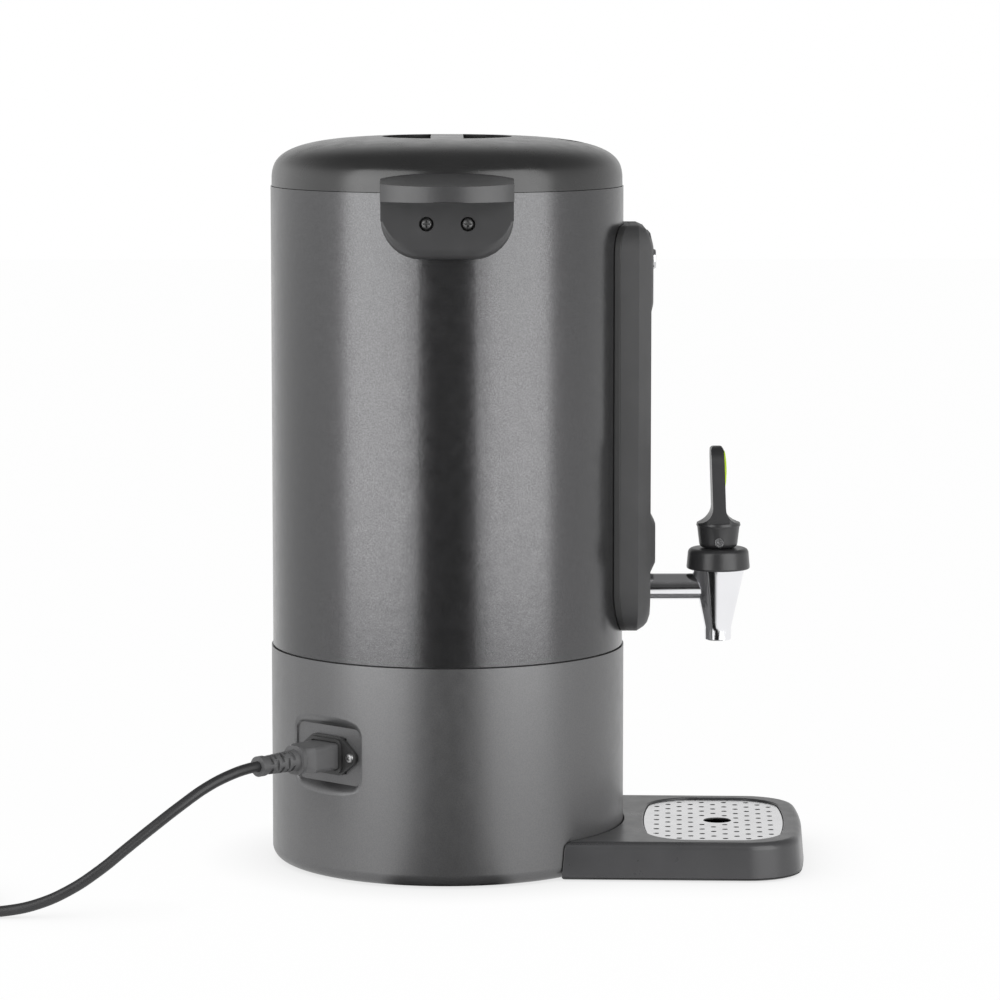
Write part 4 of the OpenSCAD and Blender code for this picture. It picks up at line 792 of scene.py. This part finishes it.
# The pocket's bearing and height, its floor's distance from the urn's axis, and its mouth's half width
# and half height, which the sloped walls take in by POCKET_SLOPE on the way to the floor
POCKET_TURN = math.radians(136.5)
POCKET_Z = 77.5
POCKET_FLOOR = 104.7
POCKET_MOUTH = BASE_R + 1
POCKET_HALF = (31, 22)
POCKET_SLOPE = 4.5
CORNER_MOUTH, CORNER_FLOOR = 9, 5
CORNER_SIGNS = ((1, 1), (-1, 1), (-1, -1), (1, -1))


def turned_out(u, v, n):
    """A place by its distance across the pocket, up it and out from the urn's axis."""
    return (n * math.cos(POCKET_TURN) - u * math.sin(POCKET_TURN),
            n * math.sin(POCKET_TURN) + u * math.cos(POCKET_TURN), POCKET_Z + v)


def on_drum(u, v, radius):
    """A place by its distance across the pocket and up it, on a drum round the urn's axis."""
    return turned_out(u, v, math.sqrt(radius * radius - u * u))


def pocket_edge(along, n):
    """A place on the pocket's sloped wall and the outward way there, at n mm from the urn's axis.

    along runs from 0 to 360: a third of each quarter goes to a corner's arc, and the rest to the
    halves of the straight sides next to it."""
    sunk = (POCKET_MOUTH - n) / (POCKET_MOUTH - POCKET_FLOOR)
    radius = CORNER_MOUTH + (CORNER_FLOOR - CORNER_MOUTH) * sunk
    quarter, share = divmod(along, 90)
    shares = [min(1, (90 - share) / 30), min(1, share / 30)]
    if quarter % 2:
        shares.reverse()
    u, v = (sign * (half - POCKET_SLOPE * sunk - radius) * part
            for sign, half, part in zip(CORNER_SIGNS[int(quarter)], POCKET_HALF, shares))
    turn = math.radians(quarter * 90 + 90 * min(1, max(0, (share - 30) / 30)))
    way = (math.cos(turn), math.sin(turn))
    return (u + radius * way[0], v + radius * way[1]), way


def pocket_mouth(along):
    """Where the pocket's wall meets the drum, found by halving: the place, the outward way and n."""
    low, high = POCKET_FLOOR, POCKET_MOUTH
    for _ in range(30):
        n = (low + high) / 2
        (u, v), way = pocket_edge(along, n)
        if math.hypot(u, n) < BASE_R:
            low = n
        else:
            high = n
    return (u, v), way, n


def pocket_lip():
    """A cutter that rounds the mouth: an arc that is tangent to the drum and to the pocket's wall."""
    # How far the wall turns in from the drum's face where that face is square to it
    wall_fold = math.radians(54)
    outer, arcs, inner = [], [[] for _ in range(8)], []
    for along in range(0, 360, 5):
        (u, v), way, n = pocket_mouth(along)
        fold = wall_fold - abs(way[0]) * math.asin(abs(u) / BASE_R)
        # The arc ends above the pocket's floor
        radius = min(LIP_R, 0.765 * (n - POCKET_FLOOR) / (1 - math.cos(fold)))
        reach = radius * math.tan(fold / 2)
        for i, ring in enumerate(arcs):
            a = fold * i / (len(arcs) - 1)
            off = reach - radius * math.sin(a)
            # The first ring stands 0.03 mm proud of the drum, for a clean cut
            sunk = radius * (1 - math.cos(a)) - (0.03 if i == 0 else 0)
            ring.append(on_drum(u + way[0] * off, v + way[1] * off, BASE_R - sunk))
        outer.append(turned_out(u + way[0] * reach, v + way[1] * reach, BASE_R + 6))
        off = reach - radius * math.sin(fold) - 1.5
        inner.append(on_drum(u + way[0] * off, v + way[1] * off, BASE_R - radius * (1 - math.cos(fold))))
    return solid("pocket_lip", [outer] + arcs + [inner])


base_coat = powder_coat("base_coat", (0.13, 0.13, 0.132), 0.68, 0.35, 0.00002, tint=0.1)
cast_grey = surface("cast_aluminium", (0.5, 0.5, 0.51), 0.5, 1.0, tint=0.1,
                    bumps=[(700, 0.0001, None)])
sheath = surface("element_sheath", (0.2, 0.18, 0.17), 0.45, 0.9, tint=0.3, tint_scale=120)
ceramic = surface("ceramic", (0.75, 0.72, 0.66), 0.6, tint=0.08, bumps=[(900, 0.00004, None)])
brown_wire = surface("brown_wire", (0.11, 0.04, 0.015), 0.45, tint=0.1, bumps=[(400, 0.00003, None)])
grey_wire = surface("grey_wire", (0.16, 0.16, 0.17), 0.45, tint=0.1, bumps=[(400, 0.00003, None)])
rounded("base_housing", base_coat, 0.3, cutters=(pocket_lip(),))
rounded("base_plate", fitting_black, 0.3)
rounded("foot_ring", rubber, 0.4)
rounded("chassis_ring", zinc, 0.3)
rounded("heating_plate", cast_grey, 0.4)
rounded("thermostat", ceramic, 0.3)
rounded("thermal_cutout", ceramic, 0.3)
rounded("terminal_block", ceramic, 0.3)
paint(sheath, "heating_element")
paint(brown_wire, "supply_wires")
paint(grey_wire, "switch_wires")
screws("base_screws", zinc, 3.2, 0.5, 1.7, downward)
screws("chassis_screws", zinc, 3.6, 2.4, 2, downward)

# ---- Mains inlet and connector ----
# A panel-mount inlet in thermoset, held by two screws in its ears, and the lead's moulded PVC
# connector with a grip, a flared collar and a ribbed bend relief.
# The inlet's own axes: X across the urn's side, Y up and Z outwards
AT_INLET = (Matrix.Rotation(POCKET_TURN, 4, "Z") @ Matrix.Translation((0, 0, POCKET_Z * mm))
            @ Matrix.Rotation(math.radians(90), 4, "Z") @ Matrix.Rotation(math.radians(90), 4, "X"))
RELIEF_LENGTH = 25 * mm
outward = (AT_INLET.to_3x3() @ Vector((0, 0, 1))).normalized()
inlet_black = moulded("inlet_black", (0.03, 0.03, 0.03), 0.32)
inlet_screw = surface("inlet_screw", (0.36, 0.36, 0.36), 0.4, 1.0, tint=0.2, tint_scale=500)
connector_pvc = surface("connector_pvc", (0.1, 0.1, 0.102), 0.4, tint=0.1, bumps=[(900, 0.00002, None)])
nickel = surface("nickel_pin", (0.62, 0.6, 0.56), 0.2, 1.0, tint=0.05)
rounded("inlet_socket", inlet_black, 0.35)
rounded("inlet_pins", nickel, 0.3)
screws("inlet_screws", inlet_screw, 2.9, 1.8, 1.7, lambda at: outward)

# The bend relief is slotted: rows of short slots round it, each row turned half a slot from the last
SLOT_SIZES = ("Row count", "Slot count", "Row pitch", "First radius", "Last radius", "Slot width",
              "Slot length", "Slot depth")
slot_tree, start, end = new_tree("relief_slots", SLOT_SIZES)
rows = step(slot_tree, "GeometryNodeMeshLine", {"mode": "OFFSET"}, Count=start["Row count"],
            Offset=step(slot_tree, "ShaderNodeCombineXYZ", Z=start["Row pitch"]).outputs[0])
index = step(slot_tree, "GeometryNodeInputIndex").outputs[0]
share = reckon(slot_tree, "DIVIDE", index, reckon(slot_tree, "SUBTRACT", start["Row count"], 1.0))
spread = reckon(slot_tree, "SUBTRACT", start["Last radius"], start["First radius"])
radius = reckon(slot_tree, "ADD", start["First radius"], reckon(slot_tree, "MULTIPLY", spread, share))
places = step(slot_tree, "GeometryNodeMeshCircle", Vertices=start["Slot count"], Radius=1.0)
size = step(slot_tree, "ShaderNodeCombineXYZ", X=start["Slot depth"], Y=start["Slot width"],
            Z=start["Slot length"])
block = step(slot_tree, "GeometryNodeMeshCube", Size=size.outputs[0])
half_turn = reckon(slot_tree, "DIVIDE", math.pi, start["Slot count"])
row_turn = reckon(slot_tree, "MULTIPLY", reckon(slot_tree, "FLOORED_MODULO", index, 2.0), half_turn)
turned = step(slot_tree, "ShaderNodeCombineXYZ", Z=row_turn)
hoops = step(slot_tree, "GeometryNodeInstanceOnPoints", Points=rows.outputs[0], Instance=places.outputs[0],
             Rotation=turned.outputs[0], Scale=radius)
spots = step(slot_tree, "GeometryNodeRealizeInstances", Geometry=hoops.outputs[0])
position = step(slot_tree, "GeometryNodeInputPosition").outputs[0]
spot = step(slot_tree, "ShaderNodeSeparateXYZ", Vector=position)
outwards = step(slot_tree, "ShaderNodeCombineXYZ", X=spot.outputs["X"], Y=spot.outputs["Y"])
faced = step(slot_tree, "FunctionNodeAlignRotationToVector", {"axis": "X"}, Vector=outwards.outputs[0])
slots = step(slot_tree, "GeometryNodeInstanceOnPoints", Points=spots.outputs[0], Instance=block.outputs[0],
             Rotation=faced.outputs[0])
aim = step(slot_tree, "GeometryNodeInputNamedAttribute", {"data_type": "FLOAT_VECTOR"}, Name="aim")
faced = step(slot_tree, "FunctionNodeAlignRotationToVector", {"axis": "Z"}, Vector=aim.outputs[0])
placed = step(slot_tree, "GeometryNodeInstanceOnPoints", Points=start["Geometry"],
              Instance=step(slot_tree, "GeometryNodeRealizeInstances", Geometry=slots.outputs[0]).outputs[0],
              Rotation=faced.outputs[0])
close_tree(slot_tree, start, end, placed.outputs[0])
tip = max(v.co.dot(outward) for v in frame["nodes"]["cord_connector"].data.vertices)
first_row = AT_INLET @ Vector((0, 0, tip - RELIEF_LENGTH))
slot_seed = points("slot_seed", [first_row], [outward])
relief_slots = grown("relief_slots", slot_tree, slot_seed, connector_pvc, {
    "Row count": 5, "Slot count": 4, "Row pitch": 4.4 * mm, "First radius": 6.9 * mm,
    "Last radius": 6.2 * mm, "Slot width": 6.4 * mm, "Slot length": 2.2 * mm, "Slot depth": 3.4 * mm})
rounded("cord_connector", connector_pvc, 0.4, cutters=(relief_slots,))

# ---- Drip tray and grille ----
# A moulded tray that pushes up against the base, with a lift-out grille of satin stainless sheet,
# punched in staggered rows round a drain hole.
TRAY_TURN = math.radians(-3)
TRAY_MIDDLE = -166.5 * mm
SHEET = 1.1 * mm
GRILLE_MARGIN = 6 * mm
tray_black = moulded("tray_black", (0.05, 0.05, 0.052), 0.3, grain=0.00001)
grille_steel = surface("grille_steel", (0.95, 0.95, 0.96), 0.22, 1.0, tint=0.03,
                       bumps=[(500, 0.000004, (1, 12, 1))])
# A dark, dull finish for the walls of the grille's holes: painted shade for the shadow inside them
painted_hole_shade = surface("painted_hole_shade", (0.08, 0.08, 0.08), 0.7, 0.5, tint=0.2, tint_scale=800)
rounded("drip_tray", tray_black, 0.8, steps=3, clamp=False)
grille = rounded("drip_grille", grille_steel, 0.15, steps=1)
# The walls of its holes are coloured dark and dull: painted shade for the shadow inside the holes
low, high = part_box("drip_grille")
grille.data.materials.append(painted_hole_shade)
for face in grille.data.polygons:
    inside = all(low[i] + GRILLE_MARGIN < face.center[i] < high[i] - GRILLE_MARGIN for i in (0, 1))
    if inside and abs(face.normal.z) < 0.5:
        face.material_index = 1
rounded("tray_pads", rubber, 0.2)

# Each punched hole has a small burr below the sheet
RIM_SIZES = ("Row count", "Across count", "Row gap", "Hole pitch", "Half width", "Half length",
             "Corner", "Bow", "Drain place", "Drain clearance", "Rim radius", "Rim wire")
rim_tree, start, end = new_tree("punched_burrs", RIM_SIZES)
less_rows = reckon(rim_tree, "SUBTRACT", start["Row count"], 1.0)
less_across = reckon(rim_tree, "SUBTRACT", start["Across count"], 1.0)
grid = step(rim_tree, "GeometryNodeMeshGrid", Vertices_X=start["Across count"],
            Vertices_Y=start["Row count"],
            Size_X=reckon(rim_tree, "MULTIPLY", less_across, start["Hole pitch"]),
            Size_Y=reckon(rim_tree, "MULTIPLY", less_rows, start["Row gap"]))
position = step(rim_tree, "GeometryNodeInputPosition").outputs[0]
spot = step(rim_tree, "ShaderNodeSeparateXYZ", Vector=position)
row = reckon(rim_tree, "ADD", reckon(rim_tree, "DIVIDE", spot.outputs["Y"], start["Row gap"]),
             reckon(rim_tree, "MULTIPLY", less_rows, 0.5))
odd = reckon(rim_tree, "FLOORED_MODULO", reckon(rim_tree, "ROUND", row), 2.0)
half_pitch = reckon(rim_tree, "MULTIPLY", start["Hole pitch"], 0.5)
shift = step(rim_tree, "ShaderNodeCombineXYZ", X=reckon(rim_tree, "MULTIPLY", odd, half_pitch))
staggered = step(rim_tree, "GeometryNodeSetPosition", Geometry=grid.outputs[0], Offset=shift.outputs[0])
new_position = step(rim_tree, "GeometryNodeInputPosition").outputs[0]
here = step(rim_tree, "ShaderNodeSeparateXYZ", Vector=new_position)
across = reckon(rim_tree, "ABSOLUTE", here.outputs["X"])
along = reckon(rim_tree, "ABSOLUTE", here.outputs["Y"])
# Near its ends the sheet narrows in a curve, and holes that would break its edge are left out
inset = reckon(rim_tree, "SUBTRACT", start["Half length"], along)
curve_length = reckon(rim_tree, "ADD", start["Corner"], start["Bow"])
near_end = reckon(rim_tree, "MAXIMUM", reckon(rim_tree, "SUBTRACT", curve_length, inset), 0.0)
pulled = reckon(rim_tree, "DIVIDE", reckon(rim_tree, "POWER", near_end, 2.0),
                reckon(rim_tree, "MULTIPLY", start["Corner"], 1.5))
full_reach = reckon(rim_tree, "SUBTRACT", start["Half width"], GRILLE_MARGIN)
reach = reckon(rim_tree, "SUBTRACT", full_reach, pulled)
outside = reckon(rim_tree, "GREATER_THAN", across, reckon(rim_tree, "SUBTRACT", reach, 0.0001 * mm))
from_drain = reckon(rim_tree, "ABSOLUTE",
                    reckon(rim_tree, "SUBTRACT", here.outputs["Y"], start["Drain place"]))
squares = reckon(rim_tree, "ADD", reckon(rim_tree, "POWER", across, 2.0),
                 reckon(rim_tree, "POWER", from_drain, 2.0))
at_drain = reckon(rim_tree, "LESS_THAN", reckon(rim_tree, "SQRT", squares), start["Drain clearance"])
left_out = reckon(rim_tree, "GREATER_THAN", reckon(rim_tree, "ADD", outside, at_drain), 0.5)
holes = step(rim_tree, "GeometryNodeDeleteGeometry", {"domain": "POINT"}, Geometry=staggered.outputs[0],
             Selection=left_out)
hoop = step(rim_tree, "GeometryNodeCurvePrimitiveCircle", Resolution=18, Radius=start["Rim radius"])
bead = step(rim_tree, "GeometryNodeCurvePrimitiveCircle", Resolution=6, Radius=start["Rim wire"])
burr = step(rim_tree, "GeometryNodeCurveToMesh", Curve=hoop.outputs[0], Profile_Curve=bead.outputs[0])
rims = step(rim_tree, "GeometryNodeInstanceOnPoints", Points=holes.outputs[0], Instance=burr.outputs[0])
whole = step(rim_tree, "GeometryNodeInstanceOnPoints", Points=start["Geometry"],
             Instance=step(rim_tree, "GeometryNodeRealizeInstances", Geometry=rims.outputs[0]).outputs[0])
close_tree(rim_tree, start, end, whole.outputs[0])
rim_seed = points("rim_seed", [(0, 0, 0)], [(0, 0, 1)])
hole_burrs = grown("hole_burrs", rim_tree, rim_seed, grille_steel, {
    "Row count": 11, "Across count": 13, "Row gap": 7.1 * mm, "Hole pitch": 14.8 * mm,
    "Half width": 69 * mm, "Half length": 43.5 * mm, "Corner": 24 * mm, "Bow": 6 * mm,
    "Drain place": -2.5 * mm, "Drain clearance": 12.5 * mm, "Rim radius": 1.9 * mm,
    "Rim wire": 0.16 * mm})
under_sheet = Matrix.Translation((0, TRAY_MIDDLE, high.z - SHEET))
hole_burrs.data.transform(Matrix.Rotation(TRAY_TURN, 4, "Z") @ under_sheet)
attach(hole_burrs, "drip_grille")

# ---- Mains plug and coil tie ----
# The lead ends in a round moulded mains plug with two nickel-plated pins, and a nylon tie holds
# the coil.
rounded("mains_plug", connector_pvc, 0.9, steps=3)
rounded("plug_pins", nickel, 0.5, steps=3)
rounded("coil_tie", fitting_black, 0.4)
